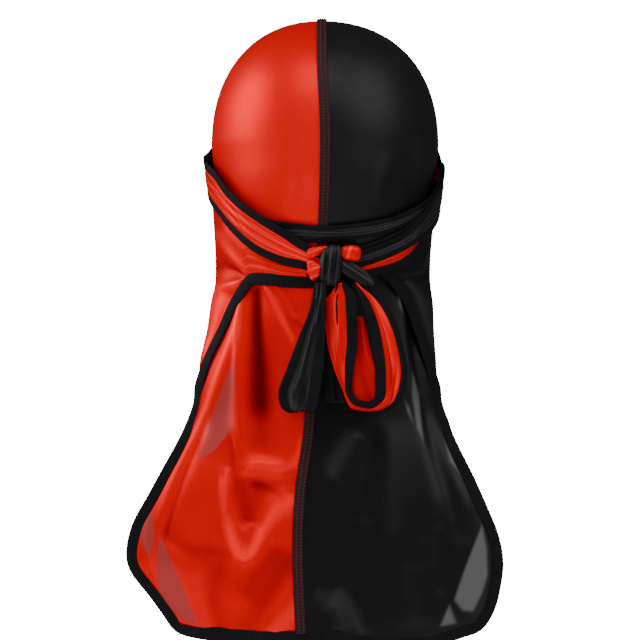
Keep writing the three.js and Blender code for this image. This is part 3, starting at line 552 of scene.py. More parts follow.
def fold_lift(place, folds):
    """Folds added up, each a bell across its line that fades out towards both of the line's ends."""
    total = 0
    for fold in folds:
        apart, along = line_distance(place, fold["line"])
        ends = smooth(0, FOLD_ENDS, along) * smooth(0, FOLD_ENDS, 1 - along)
        total = total + fold["deep"] * ends / (1 + (apart / FOLD_SPREAD) ** 2) ** 2
    return total


def thin_share(place, patches):
    """1 inside a thin place and 0 outside, with a short soft edge. A place lies inside where it is
    on the inner side of every line from one corner to the next."""
    total = np.zeros(place.shape[:-1])
    for patch in patches:
        spots = np.array(patch, float)
        ways = np.roll(spots, -1, axis=0) - spots
        inward = unit(np.stack([-ways[:, 1], ways[:, 0]], -1))
        deep = np.min([(place - spot) @ way for spot, way in zip(spots, inward)], axis=0)
        total = np.maximum(total, smooth(-THIN_OUTSIDE, THIN_INSIDE, deep))
    return total


def ripples(point, seed):
    """Soft uneven waves between 1 and -1: sines of the place, each along its own way."""
    draw = np.random.default_rng(seed)
    total = 0
    for _ in range(RIPPLE_SINES):
        way = unit(draw.normal(size=3)) * 2 * np.pi / draw.uniform(*RIPPLE_LENGTHS)
        total = total + np.sin(point @ way + draw.uniform(0, 2 * np.pi)) / RIPPLE_SINES
    return total


# Meshes


def grid_faces(rows, columns, keep=None, flip=False):
    """Four corner numbers for each cell of a grid of points, less the cells that aren't kept."""
    i, j = np.meshgrid(np.arange(rows - 1), np.arange(columns - 1), indexing="ij")
    first = i * columns + j
    faces = np.stack([first, first + 1, first + columns + 1, first + columns], -1)
    faces = faces[keep] if keep is not None else faces.reshape(-1, 4)
    return faces[:, ::-1] if flip else faces


def round_faces(rows, ring):
    """Faces of a grid whose last column joins its first."""
    row, column = np.divmod(grid_faces(rows, ring + 1), ring + 1)
    return row * ring + column % ring


def facing_out(points, parts):
    """Lists of faces, all turned round where the volume within the first list is negative."""
    a, b, c, d = (points[parts[0][:, k]] for k in range(4))
    volume = np.sum(np.cross(a, b) * c) + np.sum(np.cross(a, c) * d)
    return [part[:, ::-1] for part in parts] if volume < 0 else parts


def add_piece(name, points, faces, material, uv=None, fold=None, thin=0):
    """Makes a smooth piece of points in millimetres and lists of faces, and drops unused points. A
    satin piece has the attributes fold and thin, which its material reads."""
    points = points.reshape(-1, 3)
    corners = np.concatenate([part.ravel() for part in faces])
    used, corners = np.unique(corners, return_inverse=True)
    sizes = np.concatenate([np.full(len(part), part.shape[1]) for part in faces])
    mesh = bpy.data.meshes.new(name)
    mesh.vertices.add(len(used))
    mesh.vertices.foreach_set("co", (points[used] * MM).astype(np.float32).ravel())
    mesh.loops.add(len(corners))
    mesh.loops.foreach_set("vertex_index", corners.astype(np.int32))
    mesh.polygons.add(len(sizes))
    mesh.polygons.foreach_set("loop_start", (np.cumsum(sizes) - sizes).astype(np.int32))
    mesh.update(calc_edges=True)
    mesh.polygons.foreach_set("use_smooth", np.ones(len(sizes), bool))
    if uv is not None:
        layer = mesh.uv_layers.new(name="UVMap")
        layer.data.foreach_set("uv", (uv.reshape(-1, 2)[used][corners] * MM).astype(np.float32).ravel())
    shades = {} if fold is None else {"thin": thin, "fold": fold}
    for key, value in shades.items():
        value = np.broadcast_to(value, fold.shape).ravel()
        attribute = mesh.attributes.new(key, "FLOAT", "POINT")
        attribute.data.foreach_set("value", value[used].astype(np.float32))
    mesh.validate()
    mesh.materials.append(material)
    piece = bpy.data.objects.new(name, mesh)
    bpy.context.scene.collection.objects.link(piece)
    return piece


def satin_sheet(name, points, material, uv, fold, thin=0, flip=False, keep=None):
    """A grid of points as a sheet of satin, with half its wall to each side and its edges closed."""
    faces = grid_faces(*points.shape[:2], keep=keep, flip=flip)
    piece = add_piece(name, points, [faces], material, uv, fold, thin)
    wall = piece.modifiers.new("wall", "SOLIDIFY")
    wall.thickness = SATIN * MM
    wall.offset = 0
    return piece


def signed_root(value, power):
    return np.sign(value) * np.abs(value) ** power


# A tape's section has this many points, and it is squarer the higher its squareness.
TAPE_RING = 16
TAPE_SQUARENESS = 3


def ribbon(name, path, normal, width, thickness, material):
    """A flat tape carried along a path. Its section is a superellipse: across and out are the signed
    roots of cosine and sine. Both ends close to a point in their middle."""
    along = unit(np.gradient(path, axis=0))
    sideways = unit(np.cross(along, normal))
    out = unit(np.cross(sideways, along))
    turn = np.linspace(0, 2 * np.pi, TAPE_RING, endpoint=False)
    half = np.broadcast_to(np.asarray(width, float) / 2, len(path))
    across = signed_root(np.cos(turn), 2 / TAPE_SQUARENESS) * half[:, None]
    rise = signed_root(np.sin(turn), 2 / TAPE_SQUARENESS) * thickness / 2
    points = path[:, None] + sideways[:, None] * across[..., None] + out[:, None] * rise[None, :, None]
    points = np.concatenate([points.reshape(-1, 3), path[:1], path[-1:]])
    count = len(path) * TAPE_RING
    here = np.arange(TAPE_RING)
    following = (here + 1) % TAPE_RING
    last = count - TAPE_RING
    start = np.stack([np.full(TAPE_RING, count), following, here], -1)
    finish = np.stack([np.full(TAPE_RING, count + 1), last + here, last + following], -1)
    far = path_length(path)
    uv = np.stack(np.broadcast_arrays(far[:, None], across), -1).reshape(-1, 2)
    uv = np.concatenate([uv, [[0, 0], [far[-1], 0]]])
    parts = facing_out(points, [round_faces(len(path), TAPE_RING), start, finish])
    return add_piece(name, points, parts, material, uv)


# Materials


def wire(tree, kind, inputs=None, **settings):
    """A new node with its settings. Each of its inputs is a fixed value, or a socket to link to it."""
    node = tree.nodes.new(kind)
    for key, value in settings.items():
        setattr(node, key, value)
    for key, value in (inputs or {}).items():
        if isinstance(value, bpy.types.NodeSocket):
            tree.links.new(value, node.inputs[key])
        else:
            node.inputs[key].default_value = value
    return node


def math(tree, operation, *values):
    """A math node of numbers or sockets."""
    return wire(tree, "ShaderNodeMath", dict(enumerate(values)), operation=operation).outputs[0]


def arithmetic(tree):
    """Adding, multiplying, dividing and the sine as functions of numbers or sockets in one tree."""
    return [partial(math, tree, operation) for operation in ("ADD", "MULTIPLY", "DIVIDE", "SINE")]


def noise(tree, scale, detail):
    """A noise of the place on the piece."""
    place = wire(tree, "ShaderNodeTexCoord").outputs["Object"]
    return wire(tree, "ShaderNodeTexNoise", {"Scale": scale, "Detail": detail, "Vector": place}).outputs[0]


def blend_colour(tree, share, first, second):
    """The first colour where the share is 0 and the second where it is 1."""
    return wire(tree, "ShaderNodeMix", {0: share, 6: first, 7: second}, data_type="RGBA").outputs[2]


def new_group(name, inputs):
    """A node group with named colours and numbers as inputs, at their start values, and a colour, a
    roughness and a normal as outputs. Gives also the UV map's two ways, along and across."""
    group = bpy.data.node_groups.new(name, "ShaderNodeTree")
    for label, value in inputs.items():
        kind = "NodeSocketColor" if isinstance(value, tuple) else "NodeSocketFloat"
        group.interface.new_socket(label, in_out="INPUT", socket_type=kind).default_value = value
    for label, kind in (("Colour", "Color"), ("Roughness", "Float"), ("Normal", "Vector")):
        group.interface.new_socket(label, in_out="OUTPUT", socket_type="NodeSocket" + kind)
    uv = wire(group, "ShaderNodeUVMap", uv_map="UVMap").outputs[0]
    along, across = wire(group, "ShaderNodeSeparateXYZ", {0: uv}).outputs[:2]
    return group, wire(group, "NodeGroupInput").outputs, along, across


def close_group(group, colour, roughness, height, strength, distance):
    """Joins the group's outputs. The normal comes from the height, through a bump."""
    bump = wire(group, "ShaderNodeBump", {"Strength": strength, "Distance": distance, "Height": height})
    outputs = {"Colour": colour, "Roughness": roughness, "Normal": bump.outputs[0]}
    wire(group, "NodeGroupOutput", outputs)
    return group


# The weft's lines are this many times as far apart as the warp's, and a sewn line is this wide.
WEFT_PITCH = 5
STITCH_GROOVE = 0.00022


def satin_weave():
    """Satin: fine lines of warp and a slanting weft, in a fine grain, with a soft unevenness of the
    dye and the gloss."""
    group, given, along, across = new_group(
        "satin_weave",
        {"Colour": (0.5, 0.5, 0.5, 1), "Shade": (0.3, 0.3, 0.3, 1), "Roughness": 0.35, "Float Pitch": 0.0007},
    )
    add, times, over, sine = arithmetic(group)
    slow = noise(group, scale=14, detail=3)
    fine = noise(group, scale=1400, detail=2)
    turns = over(along, given["Float Pitch"])
    cross_turns = over(across, times(given["Float Pitch"], WEFT_PITCH))
    warp = sine(times(turns, 2 * np.pi))
    weft = sine(add(times(cross_turns, 2 * np.pi), turns))
    height = add(add(times(warp, 0.5), times(weft, 0.25)), times(fine, 0.8))
    dye = wire(group, "ShaderNodeMapRange", {"From Min": 0.35, "From Max": 0.7, "Value": slow}).outputs[0]
    colour = blend_colour(group, dye, given["Shade"], given["Colour"])
    roughness = add(given["Roughness"], times(add(fine, -0.5), 0.12))
    return close_group(group, colour, roughness, height, strength=0.22, distance=0.00004)


def ribbed_knit():
    """Binding tape: cross ribs along its length, a sewn line near each edge and a fuzzy grain."""
    group, given, along, across = new_group(
        "ribbed_knit",
        {
            "Colour": (0.03, 0.03, 0.03, 1),
            "Rib Colour": (0.06, 0.06, 0.06, 1),
            "Rib Pitch": 0.0013,
            "Stitch Line": 0.0018,
        },
    )
    add, times, over, sine = arithmetic(group)
    fuzz = noise(group, scale=1800, detail=2)
    slow = noise(group, scale=60, detail=2)
    rib = add(times(sine(times(over(along, given["Rib Pitch"]), 2 * np.pi)), 0.5), 0.5)
    off_line = math(group, "SUBTRACT", math(group, "ABSOLUTE", across), given["Stitch Line"])
    groove = math(group, "LESS_THAN", math(group, "ABSOLUTE", off_line), STITCH_GROOVE)
    height = add(add(times(rib, 0.7), times(fuzz, 0.6)), times(groove, -0.6))
    colour = blend_colour(group, times(rib, times(slow, 1.6)), given["Colour"], given["Rib Colour"])
    roughness = add(times(fuzz, 0.25), 0.55)
    return close_group(group, colour, roughness, height, strength=0.5, distance=0.00022)


def finish_material(name, group, values, constants):
    """A material whose colour, roughness and normal come from a group with its own values, and
    whose constant sockets are set on the shader."""
    material = bpy.data.materials.new(name)
    material.use_nodes = True
    tree = material.node_tree
    shader = tree.nodes["Principled BSDF"]
    effect = wire(tree, "ShaderNodeGroup", values, node_tree=group)
    for key, value in constants.items():
        shader.inputs[key].default_value = value
    for label, key in (("Colour", "Base Color"), ("Roughness", "Roughness"), ("Normal", "Normal")):
        tree.links.new(effect.outputs[label], shader.inputs[key])
    return material


# The values of the fold attribute at which the painted shade of the valleys and the painted
# highlight of the crests begin and are full, and how much of what is behind it a thin place covers.
PAINTED_SHADE_SPAN = (0, -1.3)
PAINTED_HIGHLIGHT_SPAN = (0.2, 1.5)
THIN_COVER = 0.985


def satin_material(name, values, constants, painted_shade_colour, painted_highlight_colour, painted_backlight_colour):
    """Satin with painted shade and painted highlights on its folds: nearer the painted shade colour
    the deeper the cloth lies and nearer the painted highlight colour the higher it stands, as the
    piece's fold attribute says. Where the piece's thin attribute is 1, it has a paler colour of
    painted light from behind, and covers less."""
    material = finish_material(name, WEAVE, values, {"Diffuse Roughness": 0.1, **constants})
    tree = material.node_tree
    shader = tree.nodes["Principled BSDF"]
    colour = shader.inputs["Base Color"].links[0].from_socket
    fold, thin = (
        wire(tree, "ShaderNodeAttribute", attribute_name=key).outputs["Fac"] for key in ("fold", "thin")
    )
    for target, (start, end) in ((painted_shade_colour, PAINTED_SHADE_SPAN), (painted_highlight_colour, PAINTED_HIGHLIGHT_SPAN)):
        span = {"From Min": start, "From Max": end, "Value": fold}
        share = wire(tree, "ShaderNodeMapRange", span, interpolation_type="SMOOTHSTEP").outputs[0]
        colour = blend_colour(tree, share, colour, target)
    tree.links.new(blend_colour(tree, thin, colour, painted_backlight_colour), shader.inputs["Base Color"])
    cover = math(tree, "SUBTRACT", 1, math(tree, "MULTIPLY", thin, 1 - THIN_COVER))
    tree.links.new(cover, shader.inputs["Alpha"])
    return material


WEAVE = satin_weave()
KNIT = ribbed_knit()

# Each satin's darkest colour is painted shade in its fold valleys, its lightest a painted highlight on the
# crests, and its thin colour painted light shining through from behind.
red_satin = satin_material(
    "red_satin",
    {"Colour": (0.58, 0.0002, 0.004, 1), "Shade": (0.5, 0.0002, 0.003, 1), "Roughness": 0.42},
    {"Metallic": 0.45, "Specular IOR Level": 0.05, "Specular Tint": (1, 0.1, 0.08, 1)},
    painted_shade_colour=(0.09, 0.0002, 0.001, 1),
    painted_highlight_colour=(1, 0.008, 0.008, 1),
    painted_backlight_colour=(0.3, 0.03, 0.03, 1),
)
black_satin = satin_material(
    "black_satin",
    {"Colour": (0.0022, 0.0022, 0.0025, 1), "Shade": (0.0014, 0.0014, 0.0016, 1), "Roughness": 0.46},
    {"Specular IOR Level": 0.18},
    painted_shade_colour=(0.001, 0.001, 0.0011, 1),
    painted_highlight_colour=(0.02, 0.019, 0.02, 1),
    painted_backlight_colour=(0.055, 0.055, 0.055, 1),
)
black_binding = finish_material(
    "black_binding",
    KNIT,
    {"Colour": (0.0012, 0.0012, 0.0016, 1), "Rib Colour": (0.006, 0.0062, 0.0075, 1)},
    {"Specular IOR Level": 0.08},
)
seam_band = finish_material(
    "seam_band",
    KNIT,
    {"Colour": (0.008, 0.002, 0.003, 1), "Rib Colour": (0.022, 0.004, 0.005, 1), "Rib Pitch": 0.0016},
    {"Specular IOR Level": 0.2},
)
seam_thread = finish_material(
    "seam_thread",
    WEAVE,
    {"Colour": (0.07, 0.003, 0.004, 1), "Shade": (0.04, 0.002, 0.003, 1), "Roughness": 0.55},
    {"Specular IOR Level": 0.4},
)


def tape(name, path, normal, width):
    """A binding along a path."""
    return ribbon(name, path, normal, width, TAPE_THICKNESS, black_binding)


# Crown and tail

# A fold this deep has its full painted shade and highlight, and the cloth's relief is this share of its
# depth.
FULL_FOLD = 5
FOLD_RELIEF = 0.5

# A painted sheen lightens the crown, as if it stood out by this much.
PAINTED_CROWN_SHEEN = 2.6

# Where relief fades in: so many seam widths beside the seam, and the more the cloth faces the back.
# The crown's folds fade in with the cosine of the way round, and its painted sheen fades out downwards.
SEAM_FADE = (0.6, 2.6)
FACING_FADE = (0.1, 0.45)
ROUND_FADE = (0.2, 0.4)
CROWN_SHEEN_FADE = (0.8, 1.05)

# The tail comes in to its own width over this share of it.
TAIL_START = 0.2

# The grid's steps, and how far its map reaches from the seam to the side corner.
CROWN_ROWS = 80
TAIL_ROWS = 250
SIDE_COLUMNS = 120
FRONT_COLUMNS = 40
HALF_ACROSS = 130

# The seam's stitches: how far apart, how long and how thick, how far to each side of the band's
# middle as shares of its width, and the steps round and along each.
STITCH_SPACING = 2.2
STITCH_LENGTH = 1.5
STITCH_RADIUS = 0.35
STITCH_LEFT = -0.3
STITCH_RIGHT = 0.12
BEAD_ROWS = 5
BEAD_RING = 6


def drape_bottom(side, angle):
    """The drop of a drape's lower edge at each angle."""
    return NAPE_DROP * read_table(LEFT_DRAPE if side > 0 else RIGHT_DRAPE, "bottom", "angle", angle)


def panel_place(down, across, side):
    """A place of one half's cloth, with its normal, drop and painted shade. down runs 0 to 1 over the crown,
    on a quarter turn's cosine, and 1 to 2 from the rim to the hem; across runs 0 to 1 from the seam
    to the side corner and 1 to 2 from there to the forehead. Folds lift the cloth along its normal,
    where it shows to the back, and their whole depth goes into its painted shade and highlight, with
    the crown's painted sheen."""
    down, across = np.broadcast_arrays(np.asarray(down, float), np.asarray(across, float))
    crown_angle = np.where(across <= 1, SIDE_ANGLE * across, mix(SIDE_ANGLE, 180, across - 1))
    rim = NAPE_DROP * read_table(RIM, "drop", "angle", crown_angle)
    share = np.clip(down - 1, 0, 1)
    hem = HEM_DROP - HEM_TAPE * (1 + np.cos(np.radians(crown_angle)) ** 2)
    corner_from = LEFT_CORNER_FROM if side > 0 else RIGHT_CORNER_FROM
    hem = hem - CORNER_RISE * smooth(corner_from, SIDE_ANGLE, crown_angle)
    crown_drop = rim * (1 - np.cos(np.minimum(down, 1) * np.pi / 2))
    drop = np.where(down <= 1, crown_drop, mix(rim, hem, share))
    own = section(drop, side > 0)
    edge = np.minimum(own["edge"], TAIL["edge"][0])
    angle = side * crown_angle * mix(1, edge, smooth(0, TAIL_START, share))
    point = surface_point(drop, angle)
    normal = surface_normal(drop, angle)
    place = photo_place(point)
    apart = np.abs(point[..., 0] - own["drift"])
    beside_seam = smooth(*SEAM_FADE, apart / SEAM_WIDTH)
    drape_drop = drape_bottom(side, np.abs(angle))
    bare = smooth(drape_drop + 1, drape_drop + 1.5 * HEM_TAPE, drop)
    facing = smooth(*FACING_FADE, normal[..., 1])
    seen = smooth(*ROUND_FADE, np.cos(np.radians(angle)))
    # The folds' depth paints the cloth darker in its valleys and lighter on its crests.
    creases = bare * fold_lift(place, RED_FOLDS if side > 0 else BLACK_FOLDS)
    creases = creases + (down <= 1) * seen * fold_lift(place, CROWN_FOLDS)
    # Painted sheen: the crown is painted lighter, fading out below it.
    crown_sheen = PAINTED_CROWN_SHEEN * (1 - smooth(*CROWN_SHEEN_FADE, down))
    slow = bare * RIPPLE_HEIGHT * ripples(point, seed=3 - side)
    lift = beside_seam * (FOLD_RELIEF * facing * creases + slow)
    point = point + normal * lift[..., None]
    point[..., 0] += side * CLEARANCE / 2
    return point, normal, drop, creases + crown_sheen


def two_spans(first, second):
    """That many steps from 0 to 1, and that many from there to 2."""
    return np.concatenate([np.linspace(0, 1, first + 1), 1 + np.linspace(0, 1, second + 1)[1:]])


def panel(name, side, material, patches):
    """One half of the crown and tail as one sheet, from a grid of down and across."""
    down = two_spans(CROWN_ROWS, TAIL_ROWS)
    down, across = np.meshgrid(down, two_spans(SIDE_COLUMNS, FRONT_COLUMNS), indexing="ij")
    point, _, drop, shade = panel_place(down, across, side)
    keep = (down[:-1, :-1] < 1) | (across[:-1, :-1] < 1)
    angle = np.degrees(np.arctan2(np.abs(point[..., 0]), point[..., 1]))
    thin = thin_share(photo_place(point), patches) * (drop > drape_bottom(side, angle))
    uv = np.stack([across * HALF_ACROSS, drop], -1)
    return satin_sheet(name, point, material, uv, shade / FULL_FOLD, thin, flip=side < 0, keep=keep)


left_panel = panel("red_half", 1, red_satin, RED_THIN)
right_panel = panel("black_half", -1, black_satin, BLACK_THIN)


def seam_path():
    """The seam's band lies on the cloth from the forehead over the crown to the hem."""
    front = panel_place(np.linspace(1, 0.02, CROWN_ROWS), 2, 1)
    back = panel_place(np.linspace(0, 2, CROWN_ROWS + TAIL_ROWS), 0, 1)
    path, normal = (np.concatenate([front[k], back[k]]) for k in (0, 1))
    path[:, 0] -= CLEARANCE / 2
    return path + normal * (SATIN + SEAM_BAND) / 2, normal


def stitches(name, path, normal, across):
    """Small threads in a row: one rounded bead, stretched along the path, copied to every place."""
    far = path_length(path)
    places = np.arange(STITCH_SPACING, far[-1] - STITCH_SPACING, STITCH_SPACING)
    along = unit(np.gradient(path, axis=0))
    sideways = unit(np.cross(along, normal))

    def read(values):
        return np.stack([np.interp(places, far, values[:, k]) for k in range(3)], -1)

    middle, way, side, out = read(path), unit(read(along)), unit(read(sideways)), unit(read(normal))
    middle = middle + side * across + out * (SEAM_BAND / 2)
    polar = np.linspace(0, np.pi, BEAD_ROWS)
    turn = np.linspace(0, 2 * np.pi, BEAD_RING, endpoint=False)
    polar, turn = np.meshgrid(polar, turn, indexing="ij")
    ball = np.stack([np.cos(polar), np.sin(polar) * np.cos(turn), np.sin(polar) * np.sin(turn)], -1)
    bead = (ball * [STITCH_LENGTH / 2, STITCH_RADIUS, STITCH_RADIUS]).reshape(-1, 3)
    points = middle[:, None] + bead @ np.stack([way, side, out], 1)
    faces = facing_out(bead, [round_faces(BEAD_ROWS, BEAD_RING)])[0]
    faces = (faces[None] + np.arange(len(places))[:, None, None] * len(bead)).reshape(-1, 4)
    return add_piece(name, points, [faces], seam_thread, np.zeros((len(points) * len(bead), 2)))


path, normal = seam_path()
center_seam = ribbon("center_band", path, normal, SEAM_WIDTH, SEAM_BAND, seam_band)
stitch_left = stitches("seam_stitches_left", path, normal, SEAM_WIDTH * STITCH_LEFT)
stitch_right = stitches("seam_stitches_right", path, normal, SEAM_WIDTH * STITCH_RIGHT)

# Strap roots with the side drapes

DRAPE_ROWS = 90
DRAPE_COLUMNS = 130

# The gathers' height and the angles between which they fade out, how much stronger a drape's
# painted shade and highlight are than a panel's, and how much more than folds the gathers count in it.
GATHER_HEIGHT = 0.4
GATHER_FADE = (22, 52)
DRAPE_SHADE = 1.6
GATHER_SHADE = 3.5

# Relief fades in over this share of a strap's width below its cover, as far as the cloth faces the
# back, and fades out over this last part of the way down.
COVER_FADE = 0.4
DRAPE_FACING_FADE = (0.12, 0.5)
DRAPE_EDGE_FADE = (0.86, 1)


def drape_place(rows, folds, angle, share, side):
    """A place of a drape, with its normal and painted shade: share runs from its covered top to its bound
    edge. Gathers are waves of the share that fan out from the knot and fade towards the side."""
    top, bottom, cover, bulge = (
        read_table(rows, c, "angle", angle) for c in ("top", "bottom", "cover", "bulge")
    )
    drop = NAPE_DROP * mix(top, bottom, share)
    cover = NAPE_DROP * cover
    bare = smooth(cover, cover + STRAP_WIDTH * COVER_FADE, drop) * (1 - smooth(*DRAPE_EDGE_FADE, share))
    belly = DRAPE_BULGE * bulge * np.sin(share * np.pi)
    waves = np.sin(2 * np.pi * 5 * share) + 0.7 * np.sin(2 * np.pi * 11 * share + angle / 40)
    gathers = GATHER_HEIGHT * (1 - smooth(*GATHER_FADE, angle)) * waves
    base = lifted_point(drop, side * angle, layer_lift(1) * np.ones_like(share * angle))
    normal = surface_normal(drop, side * angle)
    facing = smooth(*DRAPE_FACING_FADE, normal[..., 1])
    creases = fold_lift(photo_place(base), folds)
    lift = bare * (belly + gathers + facing * creases)
    # Painted shade and highlight: the bare drape is painted lighter, and its gathers and creases lighter on
    # their crests and darker in their hollows.
    return base + normal * lift[..., None], normal, bare * (1 + GATHER_SHADE * gathers + creases)


def drape(name, rows, folds, side, material):
    """A drape as one sheet, from a grid of the share and the angle."""
    angle = np.linspace(rows["angle"][0], rows["angle"][-1], DRAPE_COLUMNS)
    angle, share = np.meshgrid(angle, np.linspace(0, 1, DRAPE_ROWS), indexing="xy")
    point, _, shade = drape_place(rows, folds, angle, share, side)
    uv = np.stack([angle * 1.5, share * 70], -1)
    return satin_sheet(name, point, material, uv, shade / FULL_FOLD * DRAPE_SHADE, flip=side < 0)


left_drape = drape("red_drape", LEFT_DRAPE, LEFT_DRAPE_FOLDS, 1, red_satin)
right_drape = drape("black_drape", RIGHT_DRAPE, RIGHT_DRAPE_FOLDS, -1, black_satin)

# Bindings of the tail and the forehead

# A binding is folded over its cloth's edge by this much, and its path has this many places along a
# root or half the hem, and along a side of the tail.
EDGE_FOLD = 1.2
EDGE_PLACES = 160
SIDE_PLACES = 400
BINDING_STEP = 1.4
BACKWARD = np.array([0.0, 1.0, 0.0])


def beside_edge(point, normal, inside, width):
    """A path moved out of the cloth, away from its inside, by half a tape's width less its fold."""
    along = np.gradient(point, axis=0)
    sideways = unit(np.cross(along, normal))
    outward = -np.sign(np.sum(sideways * (inside - point), -1, keepdims=True))
    return point + sideways * outward * (width / 2 - EDGE_FOLD)


def even_path(path, normal, spacing, soften):
    """A path through the same places at even steps, with its corners rounded by a running mean."""
    far = path_length(path)
    places = np.linspace(0, far[-1], int(far[-1] / spacing))
    window = np.hanning(soften + 2)[1:-1]
    window = window / window.sum()

    def even(values):
        columns = [np.interp(places, far, values[:, k]) for k in range(3)]
        padded = [np.pad(c, soften // 2, mode="reflect", reflect_type="odd") for c in columns]
        return np.stack([np.convolve(c, window, mode="valid") for c in padded], -1)

    return even(path), unit(even(normal))


def tail_binding_path():
    """From the knot along the left root's edge, down the tail's left side, along the hem, up the
    right side and along the right root's edge."""
    crossing = drape_bottom(1, CROSSING_ANGLE) + HEM_TAPE
    parts = []

    def add(side, point, normal, inside):
        moved = beside_edge(point, normal, inside, HEM_TAPE)
        parts.append((moved, normal) if side > 0 else (moved[::-1], normal[::-1]))

    def add_root(rows, folds, side, first):
        angle = np.linspace(first, CROSSING_ANGLE, EDGE_PLACES)
        point, normal = drape_place(rows, folds, angle, np.ones(EDGE_PLACES), side)[:2]
        inside = drape_place(rows, folds, angle, np.full(EDGE_PLACES, 0.95), side)[0]
        add(side, point, normal, inside)

    def add_side(side):
        down = np.linspace(1.05, 2, SIDE_PLACES)
        point, normal, drop, _ = panel_place(down, 1, side)
        inside = panel_place(down, 0.95, side)[0]
        settled = smooth(crossing, crossing + 4 * HEM_TAPE, drop)
        point = point + BACKWARD * (layer_lift(1) * (1 - settled))[:, None]
        below = drop >= crossing
        add(side, point[below], normal[below], inside[below])

    def add_hem(side):
        across = np.linspace(0.97, 0, EDGE_PLACES)
        add(side, *panel_place(2, across, side)[:2], panel_place(1.98, across, side)[0])

    add_root(LEFT_DRAPE, LEFT_DRAPE_FOLDS, 1, LEFT_DRAPE["angle"][0])
    add_side(1)
    add_hem(1)
    add_hem(-1)
    add_side(-1)
    add_root(RIGHT_DRAPE, RIGHT_DRAPE_FOLDS, -1, 28)
    return even_path(*(np.concatenate(values) for values in zip(*parts)), BINDING_STEP, soften=11)


# Between these drops below the nape, the tail's binding turns more to the back and gets wider.
TURN_FROM = 40
TURN_TO = 110

path, normal = tail_binding_path()
lower = smooth(NAPE_DROP + TURN_FROM, NAPE_DROP + TURN_TO, -path[:, 2])
normal = unit(normal + mix(0.4, 2.2, lower)[:, None] * BACKWARD)
wide = HEM_TAPE + mix(0.4, 2.6, lower)
tail_binding = ribbon("tail_edge_tape", path, normal, wide, TAPE_THICKNESS + 0.3, black_binding)


def front_binding_path():
    """Along the forehead's rim from one side corner to the other."""
    across = np.linspace(1.1, 1.98, 90)
    halves = []
    for side in (1, -1):
        point, normal = panel_place(1, across, side)[:2]
        inside = panel_place(0.97, across, side)[0]
        halves.append((beside_edge(point, normal, inside, HEM_TAPE)[::side], normal[::side]))
    return even_path(*(np.concatenate(values) for values in zip(*halves)), BINDING_STEP, soften=7)


front_binding = tape("forehead_tape", *front_binding_path(), HEM_TAPE)

# Straps

STRAP_COLUMNS = 420
STRAP_ROWS = 26

# A strap lower than this share of its width is folded, and its bindings are narrower. The cloth
# starts this share of a binding's width from its edge, under the binding.
LOOSE_HEIGHT = 0.8
UNDER_TAPE = 0.75

# The mean lift of a strap's cloth, its wrinkles' height, the mean of its painted shade and highlight
# and the wrinkles' share in it, and how much wider its bindings are than in the model.
STRAP_LIFT = 0.35
WRINKLE_HEIGHT = 0.28
STRAP_SHADE = 0.6
WRINKLE_SHADE = 0.35
STRAP_TAPE_WIDER = 1.12


def strap_place(rows, side, turn, down, outward=0, lift=0):
    """A place of a strap, by its turn round the crown and its share down from the upper edge, and
    the way out of the cloth there."""
    middle, height, wrap = (read_table(rows, c, "turn", turn) for c in ("middle", "height", "wrap"))
    drop = NAPE_DROP * middle + STRAP_WIDTH * height * (down - 0.5) + outward
    angle = (-side * turn + 180) % 360 - 180
    out = surface_normal(drop, angle)
    return surface_point(drop, angle) + out * (layer_lift(wrap) + lift)[..., None], out


def strap(name, rows, side, material):
    """A strap as a sheet with fine lengthwise wrinkles between two rounded bindings. The wrinkles
    are waves across the strap whose phase drifts slowly along it."""
    turn = np.linspace(rows["turn"][0], rows["turn"][-1], STRAP_COLUMNS)
    height = read_table(rows, "height", "turn", turn)
    full = STRAP_WIDTH * height
    tape_width = TAPE_WIDTH * np.minimum(height / LOOSE_HEIGHT, 1)
    down, turn_grid = np.meshgrid(np.linspace(0, 1, STRAP_ROWS), turn, indexing="ij")
    inner = mix(tape_width * UNDER_TAPE / full, 1 - tape_width * UNDER_TAPE / full, down)
    drift = 1.5 * np.sin(turn_grid / 17) + 0.9 * np.sin(turn_grid / 7.3 + 1)
    waves = np.sin(2 * np.pi * 3.2 * down + drift) + 0.6 * np.sin(2 * np.pi * 6.7 * down - 1.7 * drift)
    lift = np.sin(np.pi * down) * (STRAP_LIFT + WRINKLE_HEIGHT * waves)
    point, _ = strap_place(rows, side, turn_grid, inner, lift=lift)
    uv = np.stack([down * full, np.radians(turn_grid) * CROWN_WIDTH / 2], -1)
    # Painted shade and highlight: the strap is painted lighter overall, lighter on its wrinkles' crests and
    # darker in their hollows.
    shade = STRAP_SHADE + WRINKLE_SHADE * waves
    cloth = satin_sheet(name, point, material, uv, shade, flip=side > 0)
    tapes = []
    for label, at, sign in (("upper", 0, 1), ("lower", 1, -1)):
        edge = strap_place(rows, side, turn, np.full(STRAP_COLUMNS, at), sign * tape_width / 2)
        tapes.append(tape(f"{name}_{label}_tape", *edge, tape_width * STRAP_TAPE_WIDER))
    return cloth, tapes


left_strap, left_strap_tapes = strap("red_strap", LEFT_STRAP, 1, red_satin)
right_strap, right_strap_tapes = strap("black_strap", RIGHT_STRAP, -1, black_satin)

# Knot

TURN_ROWS = 60
TURN_RING = 90

# How round a turn's corners are: 1 is a ball, and less is nearer a box.
TURN_ROUNDNESS = 0.72

# The knot's turns: middle, width, height and depth as shares of the knot's, and angles in degrees.
KNOT_TURNS = table(
    "x z wide high deep tilt creases crease_way taper",
    (0.06, 0, 0.5, 1.2, 1, 6, 3, 0, 0.1),
    (0.36, -0.12, 0.36, 0.5, 0.7, -12, 2, 85, -0.6),
    (-0.34, 0.34, 0.44, 0.46, 0.8, 6, 1.4, 10, 0.15),
    (-0.44, -0.22, 0.9, 0.44, 0.6, 33, 2, 90, -0.1),
    (0.3, 0.42, 0.5, 0.24, 0.5, -18, 1.5, 85, -0.6),
)


